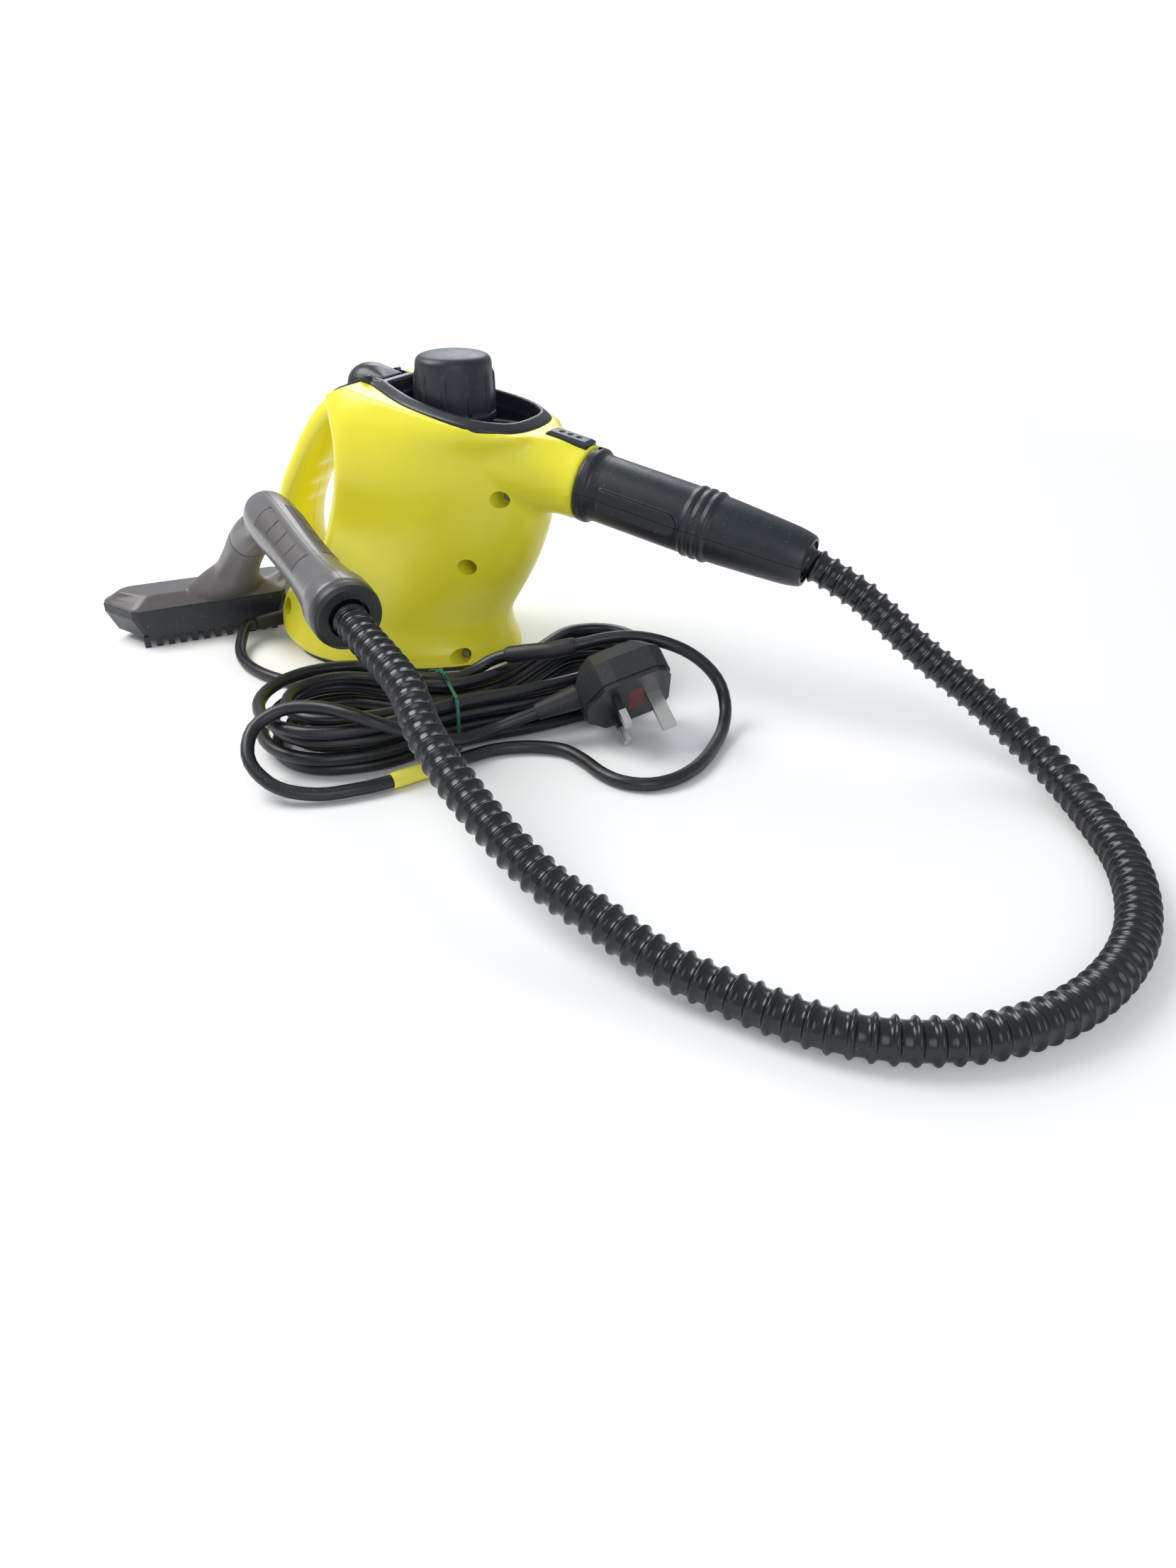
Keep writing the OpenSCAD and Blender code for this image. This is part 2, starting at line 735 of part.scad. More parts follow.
module heating_element() {
    color("#6f7276") translate([boiler_x, 0, boiler_z0 - 4]) {
        rotate([0, 0, 20]) rotate_extrude(angle = 320, $fn = 64) translate([heater_ring, 0]) circle(4, $fn = 24);
        for (s = [-1, 1]) translate([heater_ring * cos(20), s * heater_ring * sin(20), -14]) cylinder(r = 2.5, h = 14, $fn = 20);
    }
}

module thermostat() {
    color("#d9d4c4") translate([boiler_x, 0, boiler_z0 - 9]) cylinder(r = 8, h = 9, $fn = 40);
}

module thermal_fuse() {
    color("#d9d4c4") translate([boiler_x - 12.4, 0, boiler_z0 - 9]) cylinder(r = 2.6, h = 9, $fn = 24);
}

// ---------------------------------------------------------------- housing fasteners and mains inlet

screw_r = 1.75;

module housing_screws() {
    color("#8c8f92") for (s = screw_places) {
        along_y(s[0], s[1], -s[2] - 2.2, -s[2], 2.9);
        along_y(s[0], s[1], -s[2] - 0.1, 6, screw_r);
    }
}

module terminal_block() {
    color("#e4dfcf") difference() {
        translate([-42, -30, base_t]) cube([14, 30, 12]);
        for (y = [-25, -15, -5]) translate([-35, y, base_t + 4]) cylinder(r = 2.2, h = 20, $fn = 24);
    }
}

module cord_clamp() {
    color("#2b2e31") difference() {
        at_relief(-19) translate([-5.4, -5, -3]) cube([relief_at.z - base_t - fit + 5.4, 10, 6]);
        at_relief(-19) translate([0, 0, -4]) cylinder(r = cord_d / 2 + fit, h = 8, $fn = 24);
        translate([-far - foot_rear + 8.8, -far / 2, 0]) cube([far, far, 6.4]);
    }
}

// Moulded round the cord: its inner end passes through the clamp.
module strain_relief() {
    color("#1c1e20") at_relief(-22) rotate_extrude($fn = 40) polygon([
        [0, 0], [cord_d / 2, 0], [cord_d / 2, 7.5], [relief_r + 1.6, 7.5],
        [relief_r + 1.6, 9.5], [relief_r, 9.5], [relief_r, 30],
        [cord_d / 2 + 0.9, relief_len + 20], [cord_d / 2 + 0.9, relief_len + 22], [0, relief_len + 22]
    ]);
}

// ---------------------------------------------------------------- adapter

module at_adapter(out = 0) {
    translate([neck_x, 0, neck_z]) rotate([0, 90 + neck_tilt, 0]) translate([0, 0, out]) children();
}

adapter_gap = 0.3;
shoulder_s = 88;

module adapter_profile() {
    polygon([
        [0, adapter_gap], [neck_r, adapter_gap], [neck_r, 6], [adapter_r + 0.6, 7.5],
        [adapter_r, 12], [adapter_r, 65], [adapter_r + 1.1, 66.5], [adapter_r + 1.1, 69],
        [adapter_r, 70.5], [adapter_r + 1.1, 72], [adapter_r + 1.1, 74.5], [adapter_r, 76],
        [adapter_r + 1.1, 77.5], [adapter_r + 1.1, 80], [adapter_r - 0.4, 81.5],
        [adapter_r - 0.6, shoulder_s], [adapter_end_r + 2.6, adapter_len - 14],
        [adapter_end_r + 1.8, adapter_len - 8], [adapter_end_r, adapter_len], [0, adapter_len]
    ]);
}

module adapter_shell() {
    at_adapter() difference() {
        union() {
            rotate_extrude($fn = 64) adapter_profile();
            for (s = [-1, 1]) translate([0, s * (adapter_r - 0.9), 39]) cube([13, 4.6, 50], center = true);
        }
        translate([0, 0, 3]) cylinder(r1 = adapter_r - adapter_wall, r2 = adapter_r - adapter_wall, h = 60, $fn = 48);
        translate([0, 0, 63 - cut]) cylinder(r1 = adapter_r - adapter_wall, r2 = bush_r + fit, h = 40, $fn = 48);
        translate([0, 0, 102]) cylinder(r = bush_r + fit, h = adapter_len, $fn = 48);
        translate([0, 0, -1]) cylinder(r = 7 + play, h = 20, $fn = 40);
    }
}

module adapter_upper() {
    color("#202326") intersection() {
        adapter_shell();
        at_adapter(-5) translate([-60, -60, 0]) cube([60 - 0.05, 120, 200]);
    }
}

module adapter_lower() {
    color("#202326") intersection() {
        adapter_shell();
        at_adapter(-5) translate([0.05, -60, 0]) cube([60, 120, 200]);
    }
}

bush_r = hose_d / 2 + 2;
bush_s = adapter_len - 20;

module adapter_pipe() {
    color("#3a3d40") at_adapter(nozzle_out + 0.4) difference() {
        union() {
            cylinder(r = 5, h = bush_s - nozzle_out - 0.4, $fn = 32);
            translate([0, 0, 30]) cylinder(r = adapter_r - adapter_wall - 0.2, h = 3, $fn = 48);
        }
        translate([0, 0, -cut]) cylinder(r = 3, h = 200, $fn = 24);
    }
}

module hose_bush() {
    color("#2b2e31") at_adapter(bush_s) difference() {
        cylinder(r = bush_r, h = adapter_len - bush_s - 1.5, $fn = 48);
        translate([0, 0, 6]) cylinder(r = hose_d / 2 + 0.4, h = 30, $fn = 48);
        translate([0, 0, -cut]) cylinder(r = 3, h = 30, $fn = 24);
    }
}

// ---------------------------------------------------------------- hose

// The handpiece has its own frame: +X the way the grip points, +Y to its left.
hand_turn = 146;
hand_y = 83;
grip_near = [-136, 77.5];
grip_rise = 6.9;

hose_start = adapter_len - 13.9;
function neck_point(out) = [neck_x + out * cos(neck_tilt), 0, neck_z - out * sin(neck_tilt)];

// Route of the hose from the adapter, down to the surface and up to the grip.
hose_route = concat(
    [neck_point(hose_start), neck_point(hose_start + 14)],
    [
        [294, -0.5, 79.6], [311, -1.5, 69], [332, -2, 54], [360, -5, 38], [386, -14, 25], [413, -33, 15],
        [434, -59, 10], [450, -90, 9.6], [459, -122, 9.6], [461, -154, 9.6], [455, -186, 9.6], [442, -214, 9.6],
        [422, -238, 9.6], [398, -254, 9.6], [373, -262, 9.6], [346, -263, 9.6], [319, -261, 11],
        [293, -258, 14], [268, -252, 19], [240, -247, 26], [212, -237, 35], [184, -224, 45],
        [156, -207, 56], [130, -185, 66]
    ],
    [grip_point(-30), grip_point(-10), grip_point(9.8)]
);
hose_curve = smooth(hose_route, 8);
hose_len = length_of(hose_curve);
hose_pitch = hose_len / hose_ribs;

module steam_hose() {
    outer = along(hose_curve, [for (i = [0:2 * hose_ribs]) min(i * hose_pitch / 2, hose_len)]);
    inner = [for (i = [0:4:2 * hose_ribs]) outer[i]];
    outer_rings = [for (i = [0:len(outer) - 1])
        ring(outer[i], path_dir(outer, i), (i % 2 == 0 ? hose_root_d : hose_d) / 2, 8)];
    inner_rings = [for (i = [len(inner) - 1:-1:0]) ring(inner[i], path_dir(inner, i), hose_bore / 2, 8)];
    color("#1f2224") skin_loop(concat(outer_rings, inner_rings));
}

// ---------------------------------------------------------------- handpiece

function grip_point(s) =
    let (x = grip_near[0] + s * cos(grip_rise), z = grip_near[1] + s * sin(grip_rise))
    [x * cos(hand_turn) - hand_y * sin(hand_turn), x * sin(hand_turn) + hand_y * cos(hand_turn), z];

module at_hand() rotate([0, 0, hand_turn]) children();
module at_grip(s = 0) {
    at_hand() translate([grip_near[0], hand_y, grip_near[1]]) rotate([0, 90 - grip_rise, 0])
        translate([0, 0, s]) children();
}

grip_profile = [
    [grip_bell_r - 0.6, 0], [grip_bell_r, 3], [grip_bell_r, 10], [grip_bell_r - 1.6, 18],
    [15.8, 32], [14.6, 50], [14.4, 70], [14.8, 90], [15.4, 108], [15.6, 122],
    [15, grip_len - 17], [13, grip_len - 9], [9, grip_len - 3], [0, grip_len - 1]
];

// Middle line of the neck: x, y, z, half thickness, half width
neck_line = [
    [-8, hand_y, 90, 11, 12], [8, hand_y + 4, 83.5, 12, 12], [20, hand_y + 8, 74, 12, 12],
    [34, hand_y + 11, 60, 11, 12], [47, hand_y + 13, 47, 11, 14], [58, hand_y + 16, 38, 11, 20],
    [68, hand_y + 18, 30, 10, 26]
];

module neck_slice(i, inset) {
    p = neck_line[i];
    translate([p[0], p[1], p[2]]) rotate([0, 135, 0]) linear_extrude(0.2)
        scale([p[3] - inset, p[4] - inset]) circle(1, $fn = 28);
}

module neck_run(first, last, inset) {
    for (i = [first:last - 1]) hull() {
        neck_slice(i, inset);
        neck_slice(i + 1, inset);
    }
}

module grip_form() {
    difference() {
        union() {
            at_grip() rotate_extrude($fn = 48) polygon(concat([[0, 0]], grip_profile));
            at_hand() neck_run(0, 2, 0);
        }
        at_grip(-cut) cylinder(r = grip_bell_r - 4, h = 10, $fn = 40);
        at_grip(9.8) rotate_extrude($fn = 32) polygon([
            [0, 0], [grip_bell_r - 4, 0], [grip_bell_r - 4, 8], [12.6, 30], [12, 60], [12.2, 90],
            [12.8, grip_len - 38], [12.4, grip_len - 28], [9, grip_len - 18], [0, grip_len - 17]
        ]);
        at_hand() neck_run(0, 2, grip_wall);
        at_hand() translate([neck_line[2][0], neck_line[2][1], neck_line[2][2]]) rotate([0, 135, 0])
            translate([0, 0, -2]) cylinder(r = 10.2, h = 8, $fn = 40);
        at_hand() translate([neck_line[2][0], neck_line[2][1], neck_line[2][2]]) rotate([0, 135, 0])
            cylinder(r = 24, h = 4, $fn = 24);
        for (s = [34, 124]) at_grip(s) rotate([90, 0, 0]) translate([0, 0, -40]) cylinder(r = 1.3, h = 80, $fn = 16);
        at_grip(124) rotate([90, 0, 0]) translate([0, 0, 12]) cylinder(r = 3.1, h = 10, $fn = 20);
        at_grip(34) rotate([90, 0, 0]) translate([0, 0, 12]) cylinder(r = 3.1, h = 10, $fn = 20);
        at_grip() for (a = [-1, 1]) rotate([0, 0, 180 + 42 * a]) pad_cut();
    }
}

pad_from = 44;
pad_to = 112;
module pad_cut() {
    translate([13.4, -7, pad_from]) cube([8, 14, pad_to - pad_from]);
}

module grip_right() {
    color("#7c7474") intersection() {
        grip_form();
        at_hand() translate([-far, hand_y - far, -far]) cube([2 * far, far, 2 * far]);
    }
}

module grip_left() {
    color("#7c7474") intersection() {
        grip_form();
        at_hand() translate([-far, hand_y, -far]) cube([2 * far, far, 2 * far]);
    }
}

module grip_pads() {
    color("#6b6665") at_grip() for (a = [-1, 1]) rotate([0, 0, 180 + 42 * a]) intersection() {
        translate([13.5, -6.8, pad_from + 0.2]) cube([8, 13.6, pad_to - pad_from - 0.4]);
        rotate_extrude($fn = 48) polygon(concat([[0, 0]], [for (p = grip_profile) [p[0] + 0.5 < 1 ? 0 : p[0] + 0.5, p[1]]]));
    }
}

module grip_ring() {
    color("#1b1d1f") at_grip(-7) difference() {
        rotate_extrude($fn = 64) polygon([[0, 0], [grip_bell_r - 3, 0], [grip_bell_r - 0.8, 1.6],
            [grip_bell_r - 0.2, 4], [grip_bell_r - 0.2, 6.9], [0, 6.9]]);
        translate([0, 0, -cut]) cylinder(r = hose_d / 2 + 1.6, h = 10, $fn = 48);
    }
}

module hose_socket() {
    color("#2b2e31") at_grip(0) difference() {
        cylinder(r = grip_bell_r - 4.2, h = 17, $fn = 48);
        translate([0, 0, -cut]) cylinder(r = hose_d / 2 + 0.4, h = 10, $fn = 48);
        translate([0, 0, -cut]) cylinder(r = 3, h = 40, $fn = 24);
    }
}

module grip_screws() {
    color("#3a3d40") for (s = [34, 124]) at_grip(s) rotate([90, 0, 0]) {
        translate([0, 0, 10.2]) cylinder(r = 2.7, h = 1.8, $fn = 20);
        translate([0, 0, -12]) cylinder(r = 1.2, h = 23, $fn = 16);
    }
}

module handpiece_pipe() {
    hand_route = [[-118.9, hand_y, 79.6], [-111, hand_y, 78.4], [-102, hand_y, 76.8], [-60, hand_y, 81.2],
        [-22, hand_y, 85.6], [-6, hand_y + 1, 86], [8, hand_y + 4, 81.5], [20, hand_y + 8, 74],
        [34, hand_y + 11, 60],
        [47, hand_y + 14, 47], [58, hand_y + 18, 37], [66, hand_y + 21, 28]];
    color("#c98f5a") at_hand() skin(tube_rings(even_points(smooth(hand_route, 4), 14), 3.2, 8));
}

head_turn = 142;
head_x = 69;
head_y = 117.5;
skirt_top = 24.5;
skirt_low = 6;

// The far side is longer than the near side: the ends run outwards at a slant.
head_splay = 14;

module head_outline(inset, ends) {
    x = head_depth / 2 - inset;
    y = head_len / 2 - inset * 0.7 - ends;
    tip = y + head_splay;
    polygon([
        [2 - x, -y], [x - 9, -tip], [x - 3, 2 - tip], [x, 7 - tip],
        [x, tip - 7], [x - 3, tip - 2], [x - 9, tip], [2 - x, y], [-x, y - 3], [-x, 3 - y]
    ]);
}

module at_head(z = 0) rotate([0, 0, head_turn]) translate([head_x, head_y, z]) children();

module head_cover() {
    color("#7c7474") difference() {
        union() {
            hull() {
                at_head(skirt_top) linear_extrude(1) head_outline(0, 0);
                at_head(head_h - 0.2) linear_extrude(0.2) head_outline(6.5, 5);
            }
            at_hand() neck_run(2, 6, 0);
            at_hand() translate([neck_line[2][0], neck_line[2][1], neck_line[2][2]]) rotate([0, 135, 0])
                translate([0, 0, -1.8]) cylinder(r = 10, h = 4, $fn = 40);
        }
        hull() {
            at_head(skirt_top - 1) linear_extrude(1) head_outline(2.4, 0);
            at_head(head_h - 3) linear_extrude(0.2) head_outline(8.5, 5);
        }
        at_hand() neck_run(2, 6, grip_wall);
        at_hand() translate([neck_line[2][0], neck_line[2][1], neck_line[2][2]]) rotate([0, 135, 0])
            translate([0, 0, -3]) cylinder(r = 8.4, h = 14, $fn = 40);
        at_head() translate([0, 0, -far + skirt_top]) cube([far, far, 2 * far], center = true);
    }
}

module head_skirt() {
    tooth_pitch = (head_len - 6) / (teeth - 0.5);
    color("#191b1d") {
        difference() {
            hull() {
                at_head(skirt_top - 5) linear_extrude(5) head_outline(0.3, 0);
                at_head(skirt_low) linear_extrude(0.1) head_outline(0.6, 6);
            }
            at_head(-1) linear_extrude(skirt_top) head_outline(3.4, 8);
            at_head(skirt_top - 2) linear_extrude(10) head_outline(3, 0);
            at_hand() neck_run(4, 6, -0.2);
        }
        for (s = [-1, 1], k = [s < 0 ? 1 : 0:teeth - 1]) at_head(0)
            translate([s * (head_depth / 2 - 2) - 1.2, 1 - head_len / 2 + k * tooth_pitch, 0])
                cube([2.4, tooth_pitch / 2, skirt_low + 1]);
    }
}

module sole_plate() {
    color("#3a3d40") at_head(skirt_top - 2.4) difference() {
        linear_extrude(2) head_outline(3.6, 8.4);
        for (k = [-4:4]) translate([0, 10 * k, -1]) cylinder(r = 1.5, h = 5, $fn = 16);
    }
}

// ---------------------------------------------------------------- power cord

// The hank is drawn in at its waist and bends there; one round lobe at each end.
waist_at = [110, -105];
waist_turn = 48;
waist_bends = [23, 32];
waist_half = 70;
lobe_out = [68, 98];
lobe_r = [46, 33];
lobe_step = [15, 8.4];
waist_in = 4.3;
waist_step = 8.6;
layer_step = cord_d + 0.6;
layers = 4;
layer_turns = hank_turns / layers;
turn_steps = 24;

// A point of the bent hank: u along its middle line, v to the left of it.
function waist_bend(u) = waist_bends[u < 0 ? 0 : 1];
function hank_turn(u) = waist_turn + waist_bend(u) * max(-1, min(1, u / waist_half));
function hank_frame(u, v, z) =
    let (
        bend_r = waist_half / (waist_bend(u) * PI / 180),
        bent = max(-waist_half, min(waist_half, u)),
        a = hank_turn(u),
        middle = waist_at + bend_r * [sin(a) - sin(waist_turn), cos(waist_turn) - cos(a)]
            + (u - bent) * [cos(a), sin(a)]
    )
    [middle.x - v * sin(a), middle.y + v * cos(a), z];

// How many steps the cord lies inside the outermost loop, after g turns.
function loop_in(g) =
    let (q = g / layer_turns, part = q - 2 * floor(q / 2))
    layer_turns * (part < 1 ? part : 2 - part);

// Height of the cord after g turns: level on each layer, with a climb along a run.
function loop_z(g) =
    let (q = g / layer_turns, near = round(q), away = (q - near) * layer_turns / 0.115)
    cord_d / 2 + layer_step * (near < 1 ? 0 : near > layers - 1 ? layers - 1
        : near - 1 + (away < -1 ? 0 : away > 1 ? 1 : 0.5 + 0.5 * sin(90 * away)));

function run_v(u, in, lobe) =
    let (narrow = waist_in + waist_step * (layer_turns - in), k = sin(90 * u / lobe_out[lobe]))
    narrow + (lobe_r[lobe] - lobe_step[lobe] * in - narrow) * k * k;

function hank_point(g) =
    let (
        step = (g - floor(g)) * turn_steps + 3,
        turned = step >= turn_steps ? step - turn_steps : step,
        first = turned < turn_steps / 2,
        part = (first ? turned : turned - turn_steps / 2) / 3,
        s = first ? 1 : -1,
        near = first ? 0 : 1,
        next = 1 - near,
        in = loop_in(g),
        r = lobe_r[next] - lobe_step[next] * in,
        a = 90 - 90 * (part - 2)
    )
    part < 1 ? hank_frame(-s * lobe_out[near] * (1 - part),
            s * run_v(lobe_out[near] * (1 - part), in, near), loop_z(g))
        : part < 2 ? hank_frame(s * lobe_out[next] * (part - 1),
            s * run_v(lobe_out[next] * (part - 1), in, next), loop_z(g))
        : hank_frame(s * (lobe_out[next] + r * cos(a)), s * r * sin(a), loop_z(g));

hank_path = concat(
    [hank_frame(-cord_d, run_v(cord_d, 0, 0) + 1.2, loop_z(0))],
    [for (i = [0:hank_turns * turn_steps]) hank_point(i / turn_steps)],
    [hank_frame(cord_d, run_v(cord_d, 0, 1) + 1.2, loop_z(hank_turns))]
);

module power_cord_hank() {
    color("#17191b") skin(tube_rings(hank_path, cord_d / 2, 6));
}

// Least gap of the hank to itself, measured between its straight lengths.
hank_fine = [for (i = [0:len(hank_path) - 2], k = [0:3])
    hank_path[i] + (hank_path[i + 1] - hank_path[i]) * k / 4];
hank_gap = min([for (i = [0:len(hank_fine) - 1], j = [i + 10:1:len(hank_fine) - 1])
    norm(hank_fine[i] - hank_fine[j])]) - cord_d;
echo(least_gap_of_hank = hank_gap, cord_in_hank = length_of(hank_path));

function relief_point(out) = relief_at + out * [cos(relief_turn), sin(relief_turn), 0];

hank_in = hank_path[0];
hank_in_dir = unit(hank_path[1] - hank_path[0]);
lead_route = concat(
    [relief_point(relief_len), relief_point(relief_len + 6)],
    [[-84, -66, 8], [-74, -80, 4.5], [-60, -91, 3.6], [-43, -98, 3.6], [-24, -101, 3.6],
        [-3, -100, 3.6], [20, -96, 3.6], [43, -92.5, 3.6], [61, -91.5, 3.6], [75, -93, 3.6]],
    [hank_in - 4 * hank_in_dir, hank_in]
);
lead_path = even_points(smooth(lead_route, 6), 15);

module power_cord_lead() {
    color("#17191b") skin(tube_rings(lead_path, cord_d / 2, 8));
}

// The mains plug lies tipped over on one pin: its own +X is the way the pins point,
// +Y runs from the cord to the earth pin.
plug_at = [186.3, -65.8, 31.5];
plug_turn = -35;
plug_dip = 35;
plug_roll = 18;

module at_plug() translate(plug_at) rotate([0, 0, plug_turn]) rotate([0, plug_dip, 0]) rotate([plug_roll, 0, 0])
    children();

function about_x(p, a) = [p.x, p.y * cos(a) - p.z * sin(a), p.y * sin(a) + p.z * cos(a)];
function about_y(p, a) = [p.x * cos(a) + p.z * sin(a), p.y, p.z * cos(a) - p.x * sin(a)];
function about_z(p, a) = [p.x * cos(a) - p.y * sin(a), p.x * sin(a) + p.y * cos(a), p.z];
function plug_point(x, y, z) = plug_at
    + about_z(about_y(about_x([x, y, z], plug_roll), plug_dip), plug_turn);

plug_relief_len = 24;
plug_relief_y = -plug_h / 2 - plug_relief_len;

hank_out = hank_path[len(hank_path) - 1];
hank_out_dir = unit(hank_out - hank_path[len(hank_path) - 2]);
tail_route = concat(
    [hank_out],
    [[104.5, -80.5, 28.8], [109.5, -75.5, 32.4], [117, -72.5, 35.8], [126, -71, 38.6],
        [138, -69.5, 41.2], [149, -66, 43.5], [160, -59, 46.3], [172, -51, 49], [185, -45, 50],
        [199, -40, 48], [212, -33.5, 42], [222, -28, 33], [230, -26, 22.5], [236, -32, 12.5], [240, -45, 6],
        [242, -62, 3.8], [243, -79, 3.6], [241.5, -94, 3.6], [236.5, -108, 3.6], [227, -118, 3.6],
        [213.5, -121, 3.6], [200, -117, 3.6], [187, -109.5, 3.6], [173, -104, 3.6], [160, -106, 3.6],
        [148, -112, 3.6], [138, -120.5, 3.6], [131.5, -132, 4], [125, -146, 4.6], [118, -160, 4.6],
        [110, -176, 4.6], [99, -191, 4.6], [84, -205, 5], [66, -213, 9], [49, -210.5, 18.5], [42.5, -197.5, 29],
        [51.5, -183.5, 36], [69, -176, 37.5], [88, -173, 36], [104, -167, 31], [117, -152, 22], [126, -137, 14.5]],
    [plug_point(-1, plug_relief_y - 26, -0.5), plug_point(-1, plug_relief_y - 12, -0.5),
        plug_point(-1, plug_relief_y, -0.5)]
);
tail_path = even_points(smooth(tail_route, 6), 14);

module power_cord_tail() {
    color("#17191b") skin(tube_rings(tail_path, cord_d / 2, 8));
}

// Wire ties around the waist.
tie_d = 1.4;
tie_in = 4;
waist_half_w = waist_in + waist_step * layer_turns + cord_d / 2;
waist_h = layer_step * (layers - 1) + cord_d;

tie_low = 0.2;

module tie_outline(grow) {
    translate([-waist_half_w - 0.6, tie_low + tie_d + 0.7]) offset(r = grow, $fn = 24)
        square([2 * waist_half_w + 1.2, waist_h - 1]);
}

module cord_ties() {
    for (u = [-32, -8]) color("#1f6b4a") translate(hank_frame(u, 0, 0)) rotate([90, 0, 90 + hank_turn(u)])
            linear_extrude(tie_d) difference() {
                tie_outline(0.7 + tie_d);
                tie_outline(0.7);
            }
}

// A sleeve over the stretch of a path between two of its points.
module sleeve(path, from, to, r) {
    outer = [for (i = [from:to]) ring(path[i], path_dir(path, i), r, 8)];
    inner = [for (i = [to:-1:from]) ring(path[i], path_dir(path, i), cord_d / 2 + 0.15, 8)];
    skin_loop(concat(outer, inner));
}

tag_from = 29;
tag_to = 31;
sleeve_from = 2;
sleeve_to = 5;

module cord_tag() {
    color("#e0d31c") sleeve(tail_path, tag_from, tag_to, cord_d / 2 + 0.9);
}

module cord_sleeve() {
    color("#1a1c1e") sleeve(tail_path, sleeve_from, sleeve_to, cord_d / 2 + 1.4);
}

module plug_outline(inset = 0) {
    half = plug_w / 2 - inset;
    low = -plug_h / 2 + inset;
    high = plug_h / 2 - inset;
    polygon([
        [low, -9], [low + 5, -15], [-14, -half + 1], [-6, -half], [high - 8, -half], [high - 2, -half + 5],
        [high, -half + 11], [high, half - 11], [high - 2, half - 5], [high - 8, half], [-6, half],
        [-14, half - 1], [low + 5, 15], [low, 9]
    ]);
}

plug_face_x = 10;
face_t = 3;
pin_root = 8;
earth_y = 14;
line_y = earth_y - 22.2;
line_z = 11.1;
pin_fit = 0.1;

module earth_blade(grow = 0) {
    translate([plug_face_x + face_t - pin_root, earth_y - 4 - grow, -2 - grow])
        cube([pin_root + 22.7, 8 + 2 * grow, 4 + 2 * grow]);
}

module line_blades(grow = 0) {
    for (s = [-1, 1]) translate([plug_face_x + face_t - pin_root, line_y - 1.45 - grow, s * line_z - 2.65 - grow])
        cube([pin_root + 9, 2.9 + 2 * grow, 5.3 + 2 * grow]);
}

fuse_at = [4, 0];
fuse_size = [9, 24];

module fuse_pocket(grow, depth) {
    translate([plug_face_x + face_t - depth, fuse_at.x - fuse_size.x / 2 - grow, -fuse_size.y / 2 - grow])
        cube([depth + 2 * grow, fuse_size.x + 2 * grow, fuse_size.y + 2 * grow]);
}

module plug_body() {
    color("#1f2224") at_plug() difference() {
        hull() {
            translate([plug_face_x - 13, 0, 0]) rotate([90, 0, 90]) linear_extrude(13) plug_outline();
            translate([plug_face_x - plug_t, 0, 0]) rotate([90, 0, 90]) linear_extrude(1) plug_outline(6);
        }
        earth_blade(pin_fit);
        line_blades(pin_fit);
        fuse_pocket(pin_fit, 9);
    }
}

module plug_face() {
    color("#2a2d30") at_plug() difference() {
        translate([plug_face_x, 0, 0]) rotate([90, 0, 90]) linear_extrude(face_t) plug_outline(0.8);
        earth_blade(pin_fit);
        line_blades(pin_fit);
        fuse_pocket(pin_fit, 9);
    }
}

module fuse_carrier() {
    color("#6e1f1c") at_plug() fuse_pocket(0, 8.6);
}

module earth_pin() {
    color("#c9cacc") at_plug() earth_blade();
}

module line_pins() {
    color("#c9cacc") at_plug() {
        line_blades();
        for (s = [-1, 1]) translate([plug_face_x + face_t + 9 - cut, line_y - 2, s * line_z - 3.18])
            cube([8.7 + cut, 4, 6.35]);
    }
}

module pin_sleeves() {
    color("#1b1d1f") at_plug() difference() {
        for (s = [-1, 1]) translate([plug_face_x + face_t + 0.02, line_y - 2, s * line_z - 3.18])
            cube([8.9, 4, 6.35]);
        line_blades(pin_fit / 2);
    }
}

// Moulded on the cord where it enters the plug.
module plug_relief() {
    color("#202326") at_plug() translate([-1, plug_relief_y, -0.5]) rotate([-90, 0, 0])
        cylinder(r1 = 4.6, r2 = 7, h = plug_relief_len - 0.02, $fn = 40);
}

// ---------------------------------------------------------------- nodes

right_housing();
left_housing();
base_plate();
top_cover();
cover_grommet();
child_lock();
steam_lever();
lever_pin();
lever_spring();
safety_cap();
cap_plug();
cap_seal();
filler_neck();
boiler_lower();
boiler_upper();
boiler_seal();
boiler_screws();
heating_element();
thermostat();
thermal_fuse();
steam_valve();
valve_plunger();
steam_pipe();
nozzle();
nozzle_seal();
release_button();
button_spring();
housing_screws();
terminal_block();
cord_clamp();
strain_relief();
adapter_upper();
adapter_lower();
adapter_pipe();
hose_bush();
steam_hose();
grip_right();
grip_left();
grip_ring();
grip_pads();
grip_screws();
hose_socket();
handpiece_pipe();
head_cover();
head_skirt();
sole_plate();
power_cord_lead();
power_cord_hank();
power_cord_tail();
cord_ties();
cord_tag();
cord_sleeve();
plug_relief();
plug_body();
plug_face();
fuse_carrier();
earth_pin();
line_pins();
pin_sleeves();
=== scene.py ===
import json
import math

import bmesh
import bpy
import numpy as np
from mathutils import Matrix, Vector


